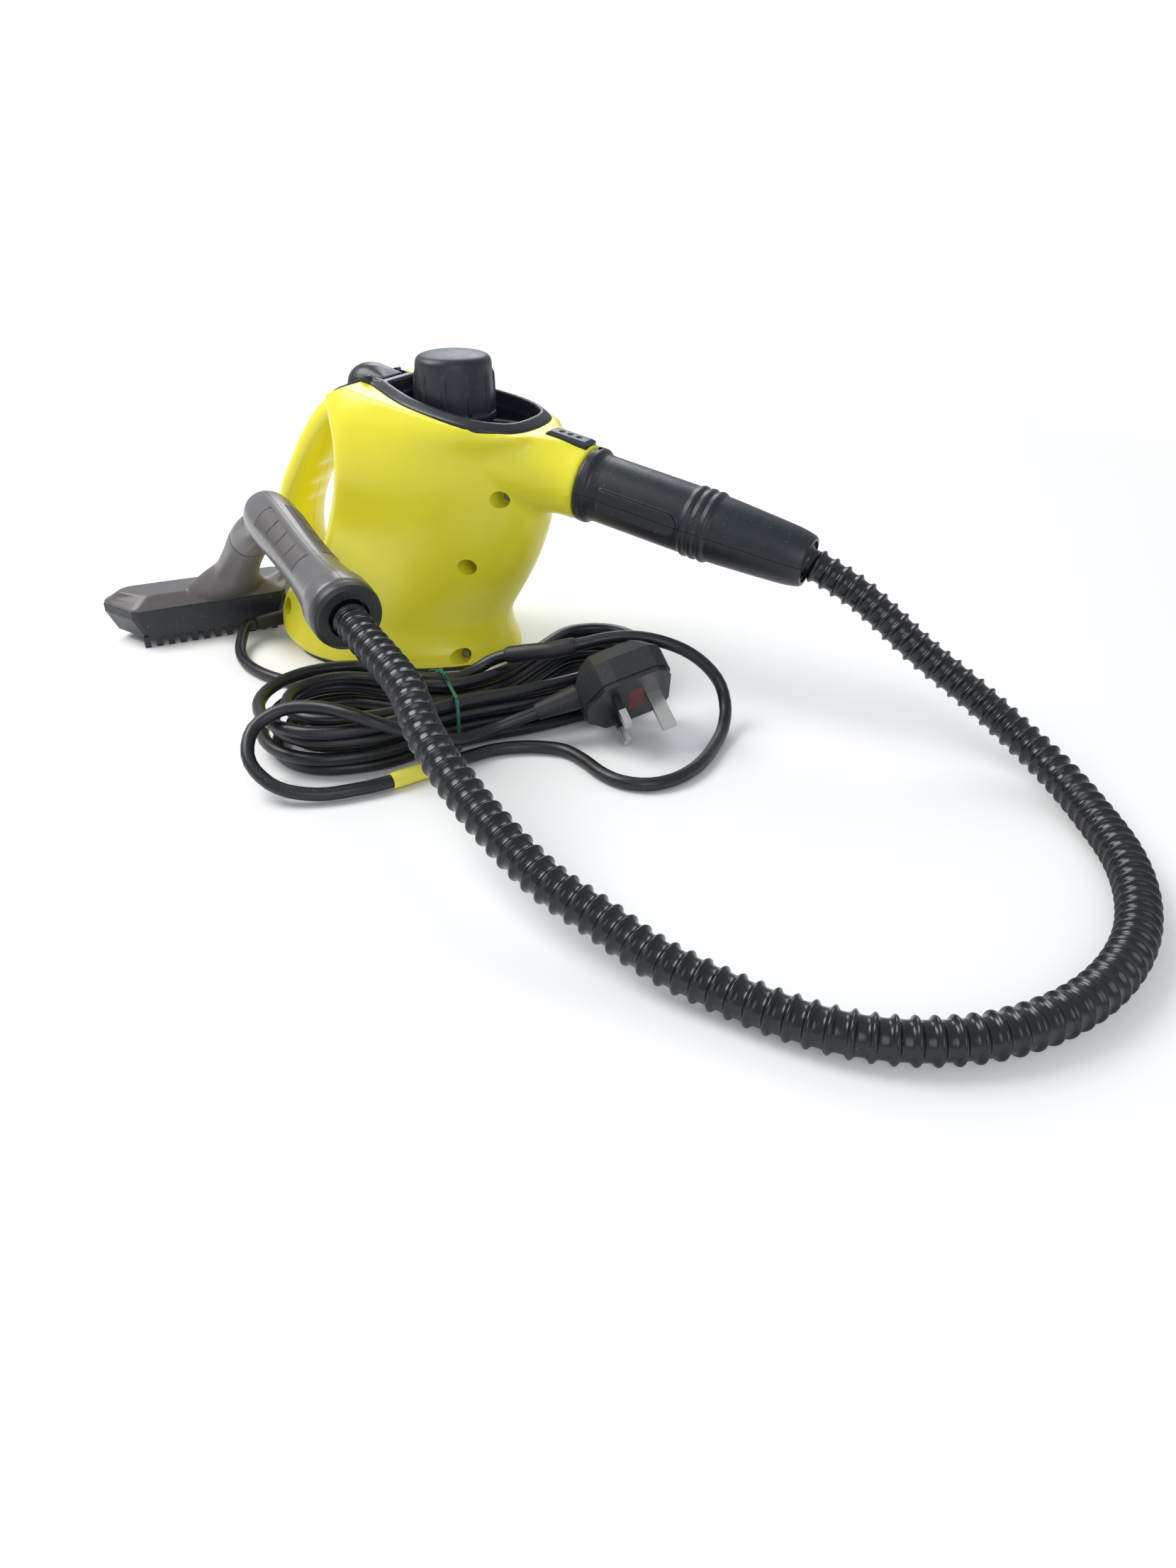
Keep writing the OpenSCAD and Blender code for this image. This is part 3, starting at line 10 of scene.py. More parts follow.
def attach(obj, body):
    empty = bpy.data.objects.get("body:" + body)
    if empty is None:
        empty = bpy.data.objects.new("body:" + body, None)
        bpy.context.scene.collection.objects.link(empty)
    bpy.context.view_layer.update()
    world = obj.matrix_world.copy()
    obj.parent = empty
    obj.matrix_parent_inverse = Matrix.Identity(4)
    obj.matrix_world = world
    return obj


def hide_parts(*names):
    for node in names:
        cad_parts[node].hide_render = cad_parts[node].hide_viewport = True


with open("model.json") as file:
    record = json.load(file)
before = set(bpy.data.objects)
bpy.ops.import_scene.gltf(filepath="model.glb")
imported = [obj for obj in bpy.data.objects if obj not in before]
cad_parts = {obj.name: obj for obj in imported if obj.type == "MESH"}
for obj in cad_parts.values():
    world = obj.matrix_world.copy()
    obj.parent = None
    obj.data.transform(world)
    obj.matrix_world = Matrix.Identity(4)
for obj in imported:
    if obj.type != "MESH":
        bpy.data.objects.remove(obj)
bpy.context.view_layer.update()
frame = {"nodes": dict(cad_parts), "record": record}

MM = 0.001
ROOT = "steamer"


# ---- mesh helpers

def smoothed(ob, angle):
    mesh = ob.data
    mesh.shade_smooth()
    mesh.set_sharp_from_angle(angle=math.radians(angle))


def linked(name, mesh):
    ob = bpy.data.objects.new(name, mesh)
    bpy.context.scene.collection.objects.link(ob)
    return ob


def mesh_object(name, verts, faces, angle=40):
    """A mesh from points in millimetres."""
    mesh = bpy.data.meshes.new(name)
    mesh.from_pydata([tuple(float(c) * MM for c in v) for v in verts], [], faces)
    mesh.update()
    ob = linked(name, mesh)
    bm = bmesh.new()
    bm.from_mesh(mesh)
    bmesh.ops.recalc_face_normals(bm, faces=bm.faces)
    bm.to_mesh(mesh)
    bm.free()
    smoothed(ob, angle)
    return ob


def skin(name, rings, close=False, angle=40):
    """Faces between rings of as many points each, with end caps unless close joins the last to the first."""
    count = len(rings[0])
    verts = [p for ring in rings for p in ring]
    faces = []
    last = len(rings) if close else len(rings) - 1
    for i in range(last):
        a, b = i * count, ((i + 1) % len(rings)) * count
        for k in range(count):
            n = (k + 1) % count
            faces.append((a + k, a + n, b + n, b + k))
    if not close:
        faces += [tuple(range(count))[::-1], tuple(range(last * count, len(verts)))]
    return mesh_object(name, verts, faces, angle)


def baked(ob):
    """Applies the modifiers of an object."""
    graph = bpy.context.evaluated_depsgraph_get()
    mesh = bpy.data.meshes.new_from_object(ob.evaluated_get(graph), depsgraph=graph)
    ob.modifiers.clear()
    old = ob.data
    ob.data = mesh
    bpy.data.meshes.remove(old)


def voxel(ob, size, passes=0, factor=0.5):
    """Melts overlapping forms into one even mesh, with its edges softened by a number of passes."""
    mod = ob.modifiers.new("remesh", "REMESH")
    mod.mode = "VOXEL"
    mod.voxel_size = size * MM
    mod.use_smooth_shade = True
    if passes:
        soft = ob.modifiers.new("soft", "SMOOTH")
        soft.factor = factor
        soft.iterations = passes
    baked(ob)


def cut(ob, cutter, how="DIFFERENCE"):
    """Takes the cutter away from an object, or keeps only what lies inside it, and drops the cutter."""
    mod = ob.modifiers.new("cut", "BOOLEAN")
    mod.operation = how
    mod.solver = "MANIFOLD"
    mod.object = cutter
    baked(ob)
    bpy.data.objects.remove(cutter, do_unlink=True)


def joined(name, obs):
    """One object out of several."""
    bm = bmesh.new()
    for ob in obs:
        bm.from_mesh(ob.data)
    mesh = bpy.data.meshes.new(name)
    bm.to_mesh(mesh)
    bm.free()
    for ob in obs:
        bpy.data.objects.remove(ob, do_unlink=True)
    return linked(name, mesh)


def cad_copy(name, node):
    """A new object from the mesh of a CAD node, which stays as it is."""
    bm = bmesh.new()
    bm.from_mesh(frame["nodes"][node].data)
    bmesh.ops.remove_doubles(bm, verts=bm.verts, dist=1e-6)
    mesh = bpy.data.meshes.new(name)
    bm.to_mesh(mesh)
    bm.free()
    return linked(name, mesh)


def turn(rx, ry, rz):
    return (Matrix.Rotation(math.radians(rz), 4, "Z") @ Matrix.Rotation(math.radians(ry), 4, "Y")
            @ Matrix.Rotation(math.radians(rx), 4, "X"))


def placed(at, rx=0, ry=0, rz=0):
    return Matrix.Translation(Vector(at)) @ turn(rx, ry, rz)


def moved(matrix, points):
    return [tuple(matrix @ Vector(p)) for p in points]


def box(name, low, high, matrix=Matrix()):
    (x0, y0, z0), (x1, y1, z1) = low, high
    pts = [(x, y, z) for z in (z0, z1) for x, y in ((x0, y0), (x1, y0), (x1, y1), (x0, y1))]
    return skin(name, [moved(matrix, pts[:4]), moved(matrix, pts[4:])])


def rounded(ob, width, segments=3, angle=30):
    mod = ob.modifiers.new("bevel", "BEVEL")
    mod.width = width * MM
    mod.segments = segments
    mod.limit_method = "ANGLE"
    mod.angle_limit = math.radians(angle)
    mod.harden_normals = False


def prism(name, outline, low, high, matrix):
    return skin(name, [moved(matrix, [(x, y, z) for x, y in outline]) for z in (low, high)])


def round_turn(count):
    """The cosine and sine of even angles round a full turn."""
    return [(math.cos(2 * math.pi * k / count), math.sin(2 * math.pi * k / count)) for k in range(count)]


def circle(r, z, count):
    """A level ring of points round the z axis; on the axis it keeps a trace of width."""
    r = max(r, 0.01)
    return [(r * c, r * s, z) for c, s in round_turn(count)]


def revolve(name, profile, matrix, segments=96, angle=40, closed=False):
    """A solid of revolution about local z; profile points are [radius, height]."""
    return skin(name, [moved(matrix, circle(r, z, segments)) for r, z in profile], closed, angle)


def cylinder(name, r, low, high, matrix, segments=48):
    return revolve(name, [(r, low), (r, high)], matrix, segments)


# ---- curves

def between(a, b, c, d, t):
    """A point of the smooth curve from b to c, whose neighbours are a and d."""
    return 0.5 * (2 * b + (c - a) * t + (2 * a - 5 * b + 4 * c - d) * t * t
                  + (3 * b - a - 3 * c + d) * t ** 3)


def smooth(route, steps, loop=False):
    """A smooth curve through all points of a route or a loop."""
    route = [np.array(p, float) for p in route]
    route = [route[-1], *route, route[0], route[1]] if loop else [route[0], *route, route[-1]]
    out = [between(*route[i:i + 4], k / steps) for i in range(len(route) - 3) for k in range(steps)]
    return np.array(out if loop else out + [route[-1]])


def run_of(path):
    """The distance along a path at each of its points."""
    return np.concatenate([[0], np.cumsum(np.linalg.norm(np.diff(path, axis=0), axis=1))])


def along(path, distances):
    run = run_of(path)
    return np.stack([np.interp(distances, run, path[:, k]) for k in range(path.shape[1])], axis=1)


def even(path, spacing):
    """The path in steps of one length, at most the spacing."""
    total = run_of(path)[-1]
    return along(path, np.linspace(0, total, int(math.ceil(total / spacing)) + 1))


def frames(path):
    """Two cross directions at each point of a path: the first is level, the second points up."""
    step = np.gradient(path, axis=0)
    step /= np.linalg.norm(step, axis=1)[:, None]
    across = np.cross(step, [0, 0, 1.0])
    across /= np.linalg.norm(across, axis=1)[:, None]
    return across, np.cross(across, step)


def tube_rings(path, radii, sides):
    across, over = frames(path)
    radii = np.broadcast_to(radii, len(path))
    return [[path[i] + radii[i] * (c * over[i] + s * across[i]) for c, s in round_turn(sides)]
            for i in range(len(path))]


def tube(name, path, radii, sides=16):
    return skin(name, tube_rings(np.array(path, float), radii, sides), angle=60)


def rising(values, table, at):
    """A cubic through table rows that rises and falls only as they do, so a profile never swings over."""
    x, y = np.array(values, float), np.array(table, float)
    h = np.diff(x)[:, None]
    d = np.diff(y, axis=0) / h
    w1, w2 = 2 * h[1:] + h[:-1], h[1:] + 2 * h[:-1]
    with np.errstate(divide="ignore", invalid="ignore"):
        inner = np.where(d[:-1] * d[1:] > 0, (w1 + w2) / (w1 / d[:-1] + w2 / d[1:]), 0)
    m = np.concatenate([d[:1], inner, d[-1:]])
    k = np.clip(np.searchsorted(x, at) - 1, 0, len(x) - 2)
    t = ((at - x[k]) / (x[k + 1] - x[k]))[:, None]
    hk = h[k]
    return ((2 * t ** 3 - 3 * t ** 2 + 1) * y[k] + (t ** 3 - 2 * t ** 2 + t) * hk * m[k]
            + (3 * t ** 2 - 2 * t ** 3) * y[k + 1] + (t ** 3 - t ** 2) * hk * m[k + 1])


# ---- finishes

def new_material(name):
    mat = bpy.data.materials.new(name)
    mat.use_nodes = True
    tree = mat.node_tree
    shader = tree.nodes["Principled BSDF"]
    return mat, tree, shader


def feed(tree, node, **inputs):
    """Sets inputs of a node, or links them to a socket; a name has _ for its spaces."""
    for key, value in inputs.items():
        socket = node.inputs[key.replace("_", " ")]
        if isinstance(value, bpy.types.NodeSocket):
            tree.links.new(value, socket)
        else:
            socket.default_value = value


def add(tree, kind, **inputs):
    """A new node with its inputs."""
    node = tree.nodes.new(kind)
    feed(tree, node, **inputs)
    return node


def noise(tree, coords, scale, detail=2.0, rough=0.5):
    return add(tree, "ShaderNodeTexNoise", Scale=scale, Detail=detail, Roughness=rough,
               Vector=coords).outputs["Fac"]


def remap(tree, value, low, high, to_low, to_high):
    return add(tree, "ShaderNodeMapRange", From_Min=low, From_Max=high, To_Min=to_low, To_Max=to_high,
               Value=value).outputs["Result"]


def mixed(tree, factor, one, two):
    """A colour between two, each a colour or a socket."""
    node = add(tree, "ShaderNodeMix", Factor=factor)
    node.data_type = "RGBA"
    for key, value in (("A", one), ("B", two)):
        socket = [s for s in node.inputs if s.name == key and s.type == "RGBA"][0]
        if isinstance(value, tuple):
            socket.default_value = (*value, 1)
        else:
            tree.links.new(value, socket)
    return [s for s in node.outputs if s.type == "RGBA"][0]


def shown(tree, share, one, two, output):
    """Sends a mix of two shaders to the output."""
    mix = add(tree, "ShaderNodeMixShader")
    for socket, value in enumerate((share, one, two)):
        tree.links.new(value, mix.inputs[socket])
    tree.links.new(mix.outputs[0], tree.nodes[output].inputs["Surface"])


def linear(rgb):
    """The linear value of a colour as it is seen on screen."""
    return tuple(c / 12.92 if c <= 0.04045 else ((c + 0.055) / 1.055) ** 2.4 for c in rgb)


def finish_of(name, rgb, rough, grain, swing=0.08, wear=None, dust=0.0, metallic=0.0, coat=0.0,
              gloss=0.08, ripple=None):
    """A moulded or turned surface: fine grain, slow change of tone and gloss, dust and rubbed places."""
    mat, tree, shader = new_material(name)
    coords = add(tree, "ShaderNodeTexCoord").outputs["Object"]
    base = linear(rgb)
    dark = tuple(c * (1 - swing) for c in base)
    light = tuple(min(1, c * (1 + swing)) for c in base)
    slow = remap(tree, noise(tree, coords, 22, 3), 0.3, 0.7, 0, 1)
    colour = mixed(tree, slow, dark, light)
    if wear:
        rubbed = remap(tree, noise(tree, coords, 90, 8, 0.7), 0.62, 0.78, 0, 0.5)
        colour = mixed(tree, rubbed, colour, linear(wear))
    if dust:
        specks = remap(tree, noise(tree, coords, 1400, 1), 0.74, 0.78, 0, dust)
        colour = mixed(tree, specks, colour, (0.55, 0.55, 0.52))
    patches = remap(tree, noise(tree, coords, 160, 5, 0.6), 0.3, 0.7, rough - gloss / 2, rough + gloss / 2)
    bump = add(tree, "ShaderNodeBump", Strength=grain[1], Distance=0.0004,
               Height=noise(tree, coords, grain[0], 3, 0.6))
    if ripple:
        wave = add(tree, "ShaderNodeBump", Strength=ripple[1], Distance=0.002,
                   Height=noise(tree, coords, ripple[0], 1))
        feed(tree, bump, Normal=wave.outputs["Normal"])
    feed(tree, shader, Base_Color=colour, Roughness=patches, Metallic=metallic, Coat_Weight=coat,
         Coat_Roughness=0.12, Normal=bump.outputs["Normal"])
    return mat


FINISH = {slot: finish_of(slot, rgb, rough, grain, **more) for slot, rgb, rough, grain, more in (
    ("housing_yellow", (0.905, 0.865, 0.19), 0.33, (3800, 0.035),
     dict(swing=0.03, gloss=0.05, coat=0.12, ripple=(30, 0.04), wear=(0.86, 0.82, 0.27), dust=0.10)),
    ("cover_black", (0.095, 0.12, 0.15), 0.34, (4200, 0.10), dict(swing=0.10, dust=0.35, gloss=0.10)),
    ("cap_black", (0.105, 0.13, 0.16), 0.42, (3600, 0.12), dict(swing=0.10, dust=0.4, gloss=0.10)),
    ("lock_grey", (0.20, 0.21, 0.22), 0.42, (3000, 0.10), {}),
    ("adapter_black", (0.085, 0.115, 0.135), 0.38, (4200, 0.12),
     dict(swing=0.10, dust=0.45, wear=(0.17, 0.19, 0.20), gloss=0.12)),
    ("hose_black", (0.07, 0.095, 0.11), 0.24, (1500, 0.04),
     dict(swing=0.10, dust=0.2, gloss=0.06, wear=(0.16, 0.17, 0.16))),
    ("grip_grey", (0.375, 0.36, 0.365), 0.32, (3800, 0.06),
     dict(swing=0.05, dust=0.2, wear=(0.43, 0.41, 0.41), coat=0.15)),
    ("head_grey", (0.36, 0.345, 0.35), 0.38, (3200, 0.10),
     dict(swing=0.05, dust=0.3, gloss=0.10, wear=(0.42, 0.40, 0.40))),
    ("pad_grey", (0.33, 0.315, 0.31), 0.52, (3000, 0.15), dict(swing=0.06, dust=0.25)),
    ("grip_screw_black", (0.13, 0.13, 0.14), 0.35, (2000, 0.10), dict(metallic=0.6)),
    ("skirt_black", (0.10, 0.12, 0.145), 0.42, (3000, 0.12), dict(swing=0.10, dust=0.4)),
    ("ring_black", (0.11, 0.12, 0.125), 0.45, (3000, 0.10), dict(dust=0.35)),
    ("cord_black", (0.085, 0.10, 0.115), 0.36, (2200, 0.16),
     dict(swing=0.12, dust=0.3, gloss=0.14, wear=(0.15, 0.16, 0.17))),
    ("relief_black", (0.09, 0.10, 0.11), 0.5, (2600, 0.16), dict(dust=0.3)),
    ("tie_green", (0.16, 0.42, 0.33), 0.4, (2600, 0.12), {}),
    ("tag_yellow", (0.90, 0.86, 0.32), 0.45, (1600, 0.12), dict(swing=0.05, wear=(0.80, 0.76, 0.30))),
    ("plug_black", (0.12, 0.135, 0.145), 0.42, (2800, 0.12),
     dict(swing=0.10, dust=0.35, wear=(0.2, 0.21, 0.21))),
    ("pin_sleeve_black", (0.09, 0.09, 0.10), 0.4, (2400, 0.08), {}),
    ("fuse_red", (0.40, 0.10, 0.09), 0.45, (2800, 0.10), {}),
    ("pin_metal", (0.86, 0.86, 0.84), 0.22, (1800, 0.04),
     dict(swing=0.04, metallic=1.0, gloss=0.10, wear=(0.74, 0.71, 0.64))),
    ("boiler_metal", (0.60, 0.62, 0.63), 0.42, (900, 0.16), dict(metallic=1.0, gloss=0.15)),
    ("element_steel", (0.50, 0.51, 0.52), 0.36, (1200, 0.12), dict(metallic=1.0, gloss=0.15)),
    ("brass_fittings", (0.72, 0.58, 0.30), 0.30, (1200, 0.10), dict(metallic=1.0, gloss=0.12)),
    ("copper_pipe", (0.72, 0.45, 0.30), 0.30, (1200, 0.10), dict(metallic=1.0, gloss=0.12)),
    ("seal_red", (0.60, 0.18, 0.13), 0.5, (2600, 0.10), {}),
    ("ceramic_cream", (0.85, 0.82, 0.74), 0.5, (2600, 0.08), {}),
)}
for slot, like in (("base_black", "ring_black"), ("inner_black", "ring_black"), ("seal_black", "ring_black"),
                   ("fastener_steel", "element_steel")):
    FINISH[slot] = FINISH[like]

for part in frame["record"]["subparts"]:
    node = frame["nodes"][part["node"]]
    node.data.materials.clear()
    node.data.materials.append(FINISH[part["material_slot"]])


def dressed(ob, body, slot, *nodes, angle=None, finish=None):
    """Gives a piece its smoothing, body and finish (the slot's unless one is named), and hides the nodes it
    replaces.
    """
    if angle:
        smoothed(ob, angle)
    ob.data.materials.clear()
    ob.data.materials.append(FINISH[finish or slot])
    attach(ob, body)
    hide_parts(*nodes)


def in_halves(ob, seam, axis, matrix, slot, *named):
    """Splits a shell across an axis; its low and high halves each get a name and stand for a node."""
    room = 400
    for half, sign, (name, node) in zip((ob, linked("twin", ob.data.copy())), (-1, 1), named):
        low, high = [-room] * 3, [room] * 3
        (high if sign < 0 else low)[axis] = sign * seam
        cut(half, box("keep", low, high, matrix), "INTERSECT")
        half.name = name
        dressed(half, ROOT, slot, node, angle=42)


# ---- frames of the part

TILT = 9.7
NECK_TILT = TILT + 1.4
TOP_LEVEL = 3.8
SHOULDER_H = 159.5
NECK_AT = (133.5, 0, 118)
NECK_R = 21.5

# Local z runs into the body on the neck, up from the plane of the top, and out along the adapter.
AT_NECK = placed(NECK_AT, ry=NECK_TILT - 90)
AT_TOP = placed((0, 0, SHOULDER_H), ry=TILT)
AT_ADAPTER = placed(NECK_AT, ry=90 + NECK_TILT)
TAIL_X = -8
TAIL_SLOPE = 21.8
AT_TAIL = placed((TAIL_X, 0, SHOULDER_H + TOP_LEVEL - TAIL_X * math.tan(math.radians(TILT))), ry=-TAIL_SLOPE)
CAP_X = 46
HAND_TURN = 146
HAND_Y = 83
GRIP_NEAR = (-136, 77.5)
GRIP_RISE = 6.9
AT_HAND = placed((0, 0, 0), rz=HAND_TURN)
AT_GRIP = AT_HAND @ placed((GRIP_NEAR[0], HAND_Y, GRIP_NEAR[1]), ry=90 - GRIP_RISE)
AT_PLUG = placed((186.3, -65.8, 31.5)) @ turn(18, 35, -35)


# ---- camera, light and floor

# The place and the directions were fitted to the photograph.
CAMERA_AT = (0.4379, -0.5979, 0.300)
CAMERA_RIGHT = Vector((0.891, 0.454, 0))
CAMERA_UP = Vector((-0.2236, 0.4388, 0.8704))
CAMERA_AHEAD = Vector((-0.3951, 0.7755, -0.4924))

camera = linked("camera", bpy.data.cameras.new("camera"))
bpy.context.scene.camera = camera
camera.data.sensor_width = 36
camera.data.lens = 27.05
camera.data.clip_start = 0.01
camera.matrix_world = Matrix.Translation(CAMERA_AT) @ Matrix(
    (CAMERA_RIGHT.normalized(), CAMERA_UP.normalized(), -CAMERA_AHEAD.normalized())).transposed().to_4x4()


def lamp(name, at, aim, size, watts, colour=(1, 1, 1)):
    light = linked(name, bpy.data.lights.new(name, "AREA"))
    light.data.shape = "DISK"
    light.data.size = size
    light.data.energy = watts
    light.data.color = colour
    light.location = at
    light.rotation_euler = (Vector(aim) - Vector(at)).to_track_quat("-Z", "Y").to_euler()


lamp("key", (-0.75, -0.35, 1.15), (0.05, -0.05, 0.10), 0.9, 16, (1.0, 0.99, 0.96))
lamp("window", (-0.5, 1.0, 1.0), (0.05, 0, 0.10), 0.9, 9, (0.93, 0.97, 1.0))
lamp("fill", (0.9, -1.1, 0.7), (0.1, -0.05, 0.08), 0.9, 4.2, (0.93, 0.97, 1.0))

world = bpy.data.worlds.new("world")
bpy.context.scene.world = world
world.use_nodes = True
world_tree = world.node_tree
sky = world_tree.nodes["Background"]
feed(world_tree, sky, Color=(0.90, 0.95, 1.0, 1), Strength=0.56)
white = add(world_tree, "ShaderNodeBackground", Color=(1, 1, 1, 1))
camera_ray = add(world_tree, "ShaderNodeLightPath").outputs["Is Camera Ray"]
shown(world_tree, camera_ray, sky.outputs[0], white.outputs[0], "World Output")

FLOOR_HALF, FLOOR_Z = 4000, -0.3
floor = mesh_object("floor", [(x * FLOOR_HALF, y * FLOOR_HALF, FLOOR_Z)
                              for x, y in ((-1, -1), (1, -1), (1, 1), (-1, 1))], [(0, 1, 2, 3)])
# The floor keeps the shadows near the part, and fades to the white of the background for the camera.
FADE_FROM, FADE_TO = 0.35, 1.0
floor_mat, tree, shader = new_material("pale_floor")
feed(tree, shader, Base_Color=(0.90, 0.90, 0.90, 1), Roughness=0.9)
far_off = add(tree, "ShaderNodeVectorMath")
far_off.operation = "LENGTH"
tree.links.new(add(tree, "ShaderNodeTexCoord").outputs["Object"], far_off.inputs[0])
fading = remap(tree, far_off.outputs["Value"], FADE_FROM, FADE_TO, 0.0, 1.0)
seen_only = add(tree, "ShaderNodeMath")
seen_only.operation = "MULTIPLY"
tree.links.new(fading, seen_only.inputs[0])
tree.links.new(add(tree, "ShaderNodeLightPath").outputs["Is Camera Ray"], seen_only.inputs[1])
plain = add(tree, "ShaderNodeEmission", Color=(1, 1, 1, 1))
shown(tree, seen_only.outputs[0], shader.outputs[0], plain.outputs[0], "Material Output")
floor.data.materials.append(floor_mat)

bpy.context.scene.view_settings.view_transform = "Standard"


# ---- steam hose

def neck_point(out):
    """A point on the axis of the neck, so far out of its mouth."""
    a = math.radians(NECK_TILT)
    return [NECK_AT[0] + out * math.cos(a), 0, NECK_AT[2] - out * math.sin(a)]


def grip_point(s):
    """A point on the axis of the grip, so far in from its hose end."""
    a, b = math.radians(GRIP_RISE), math.radians(HAND_TURN)
    x, z = GRIP_NEAR[0] + s * math.cos(a), GRIP_NEAR[1] + s * math.sin(a)
    return [x * math.cos(b) - HAND_Y * math.sin(b), x * math.sin(b) + HAND_Y * math.cos(b), z]


ADAPTER_LEN = 136
HOSE_START = ADAPTER_LEN - 13.9
HOSE_END = 9.8
HOSE_D = 19.0
HOSE_ROOT = 15.2
RIBS = 110
RIB_HALF, RIB_POWER = 0.185, 2.5
HOSE_SIDES = 28
hose_route = [
    neck_point(HOSE_START), neck_point(HOSE_START + 14),
    [294, -0.5, 79.6], [311, -1.5, 69], [332, -2, 54], [360, -5, 38], [386, -14, 25], [413, -33, 15],
    [434, -59, 10], [450, -90, 9.6], [459, -122, 9.6], [461, -154, 9.6], [455, -186, 9.6], [442, -214, 9.6],
    [422, -238, 9.6], [398, -254, 9.6], [373, -262, 9.6], [346, -263, 9.6], [319, -261, 11],
    [293, -258, 14], [268, -252, 19], [240, -247, 26], [212, -237, 35], [184, -224, 45],
    [156, -207, 56], [130, -185, 66],
    grip_point(-30), grip_point(-10), grip_point(HOSE_END),
]
hose_line = smooth(hose_route, 8)
hose_len = run_of(hose_line)[-1]


def build_hose():
    """Narrow rounded ribs with wide smooth valleys between them, and the centreline at even steps."""
    shares = np.array([0.0, 0.12, 0.21, 0.28, 0.34, 0.40, 0.45, 0.5, 0.55, 0.60, 0.66, 0.72, 0.79, 0.88])
    pitch = hose_len / RIBS
    heights = 0.05 + 0.95 * np.exp(-(np.abs(shares - 0.5) / RIB_HALF) ** RIB_POWER)
    places, radii = [], []
    for i in range(RIBS):
        for s, h in zip(shares, heights):
            places.append((i + s) * pitch)
            radii.append((HOSE_ROOT + (HOSE_D - HOSE_ROOT) * h) / 2)
    places.append(hose_len)
    radii.append(HOSE_ROOT / 2)
    fine = smooth(hose_route, 24)
    run = run_of(fine)
    path = along(fine, np.array(places) * run[-1] / hose_len)
    centreline = along(fine, np.linspace(0, run[-1], 2 * RIBS + 1))
    return tube("ribbed_hose", path, np.array(radii), HOSE_SIDES), centreline


hose, hose_path = build_hose()
dressed(hose, ROOT, "hose_black", "steam_hose")


# ---- power cord

CORD_D = 7.0
TURNS = 6
LAYERS = 4
LAYER_TURNS = TURNS / LAYERS
LAYER_STEP = CORD_D + 0.6
TURN_STEPS = 24
WAIST_AT = np.array([110.0, -105.0])
WAIST_TURN = 48
WAIST_BENDS = (23, 32)
WAIST_HALF = 70
LOBE_OUT = (68, 98)
LOBE_R = (46, 33)
LOBE_STEP = (15, 8.4)
WAIST_IN = 4.3
WAIST_STEP = 8.6
CLIMB = 0.115


def waist_bend(u):
    return WAIST_BENDS[0 if u < 0 else 1]


def hank_turn(u):
    """The heading of the hank at a distance along its bent waist."""
    return WAIST_TURN + waist_bend(u) * max(-1, min(1, u / WAIST_HALF))


def hank_frame(u, v, z):
    """A point along, across and over the bent hank."""
    bend_r = WAIST_HALF / math.radians(waist_bend(u))
    bent = max(-WAIST_HALF, min(WAIST_HALF, u))
    a, w = math.radians(hank_turn(u)), math.radians(WAIST_TURN)
    mid = (WAIST_AT + bend_r * np.array([math.sin(a) - math.sin(w), math.cos(w) - math.cos(a)])
           + (u - bent) * np.array([math.cos(a), math.sin(a)]))
    return [mid[0] - v * math.sin(a), mid[1] + v * math.cos(a), z]


def loop_in(g):
    """How many turns in from the outermost one; layers run inwards and outwards by turns."""
    part = g / LAYER_TURNS % 2
    return LAYER_TURNS * min(part, 2 - part)


def loop_z(g):
    """The height of the cord after so many turns, with a short climb from layer to layer."""
    q = g / LAYER_TURNS
    near = math.floor(q + 0.5)
    away = max(-1, min(1, (q - near) * LAYER_TURNS / CLIMB))
    rise = near - 0.5 + 0.5 * math.sin(math.radians(90 * away))
    return CORD_D / 2 + LAYER_STEP * max(0, min(LAYERS - 1, rise))


def run_v(u, inside, lobe):
    """How far a run of the cord lies from the middle line of the hank."""
    narrow = WAIST_IN + WAIST_STEP * (LAYER_TURNS - inside)
    k = math.sin(math.radians(90 * u / LOBE_OUT[lobe]))
    return narrow + (LOBE_R[lobe] - LOBE_STEP[lobe] * inside - narrow) * k * k


def hank_point(g):
    """The centre of the cord after so many turns, each one out along a run, round a lobe and back."""
    half, steps = divmod((g % 1 * TURN_STEPS + 3) % TURN_STEPS, TURN_STEPS / 2)
    near, part = int(half), steps / 3
    far, s = 1 - near, 1 - 2 * near
    inside = loop_in(g)
    r = LOBE_R[far] - LOBE_STEP[far] * inside
    a = math.radians(90 - 90 * (part - 2))
    z = loop_z(g)
    if part < 1:
        u = LOBE_OUT[near] * (1 - part)
        return hank_frame(-s * u, s * run_v(u, inside, near), z)
    if part < 2:
        u = LOBE_OUT[far] * (part - 1)
        return hank_frame(s * u, s * run_v(u, inside, far), z)
    return hank_frame(s * (LOBE_OUT[far] + r * math.cos(a)), s * r * math.sin(a), z)


END_OUT = 1.2
hank = np.array([hank_frame(-CORD_D, run_v(CORD_D, 0, 0) + END_OUT, loop_z(0))]
                + [hank_point(i / TURN_STEPS) for i in range(TURNS * TURN_STEPS + 1)]
                + [hank_frame(CORD_D, run_v(CORD_D, 0, 1) + END_OUT, loop_z(TURNS))])

RELIEF_AT = np.array([-73.0, -24, 11])
RELIEF_TURN = 245
RELIEF_LEN = 30


def relief_point(out):
    a = math.radians(RELIEF_TURN)
    return RELIEF_AT + out * np.array([math.cos(a), math.sin(a), 0])


def plug_point(x, y, z):
    return np.array(AT_PLUG @ Vector((x, y, z)))


def unit(v):
    return v / np.linalg.norm(v)


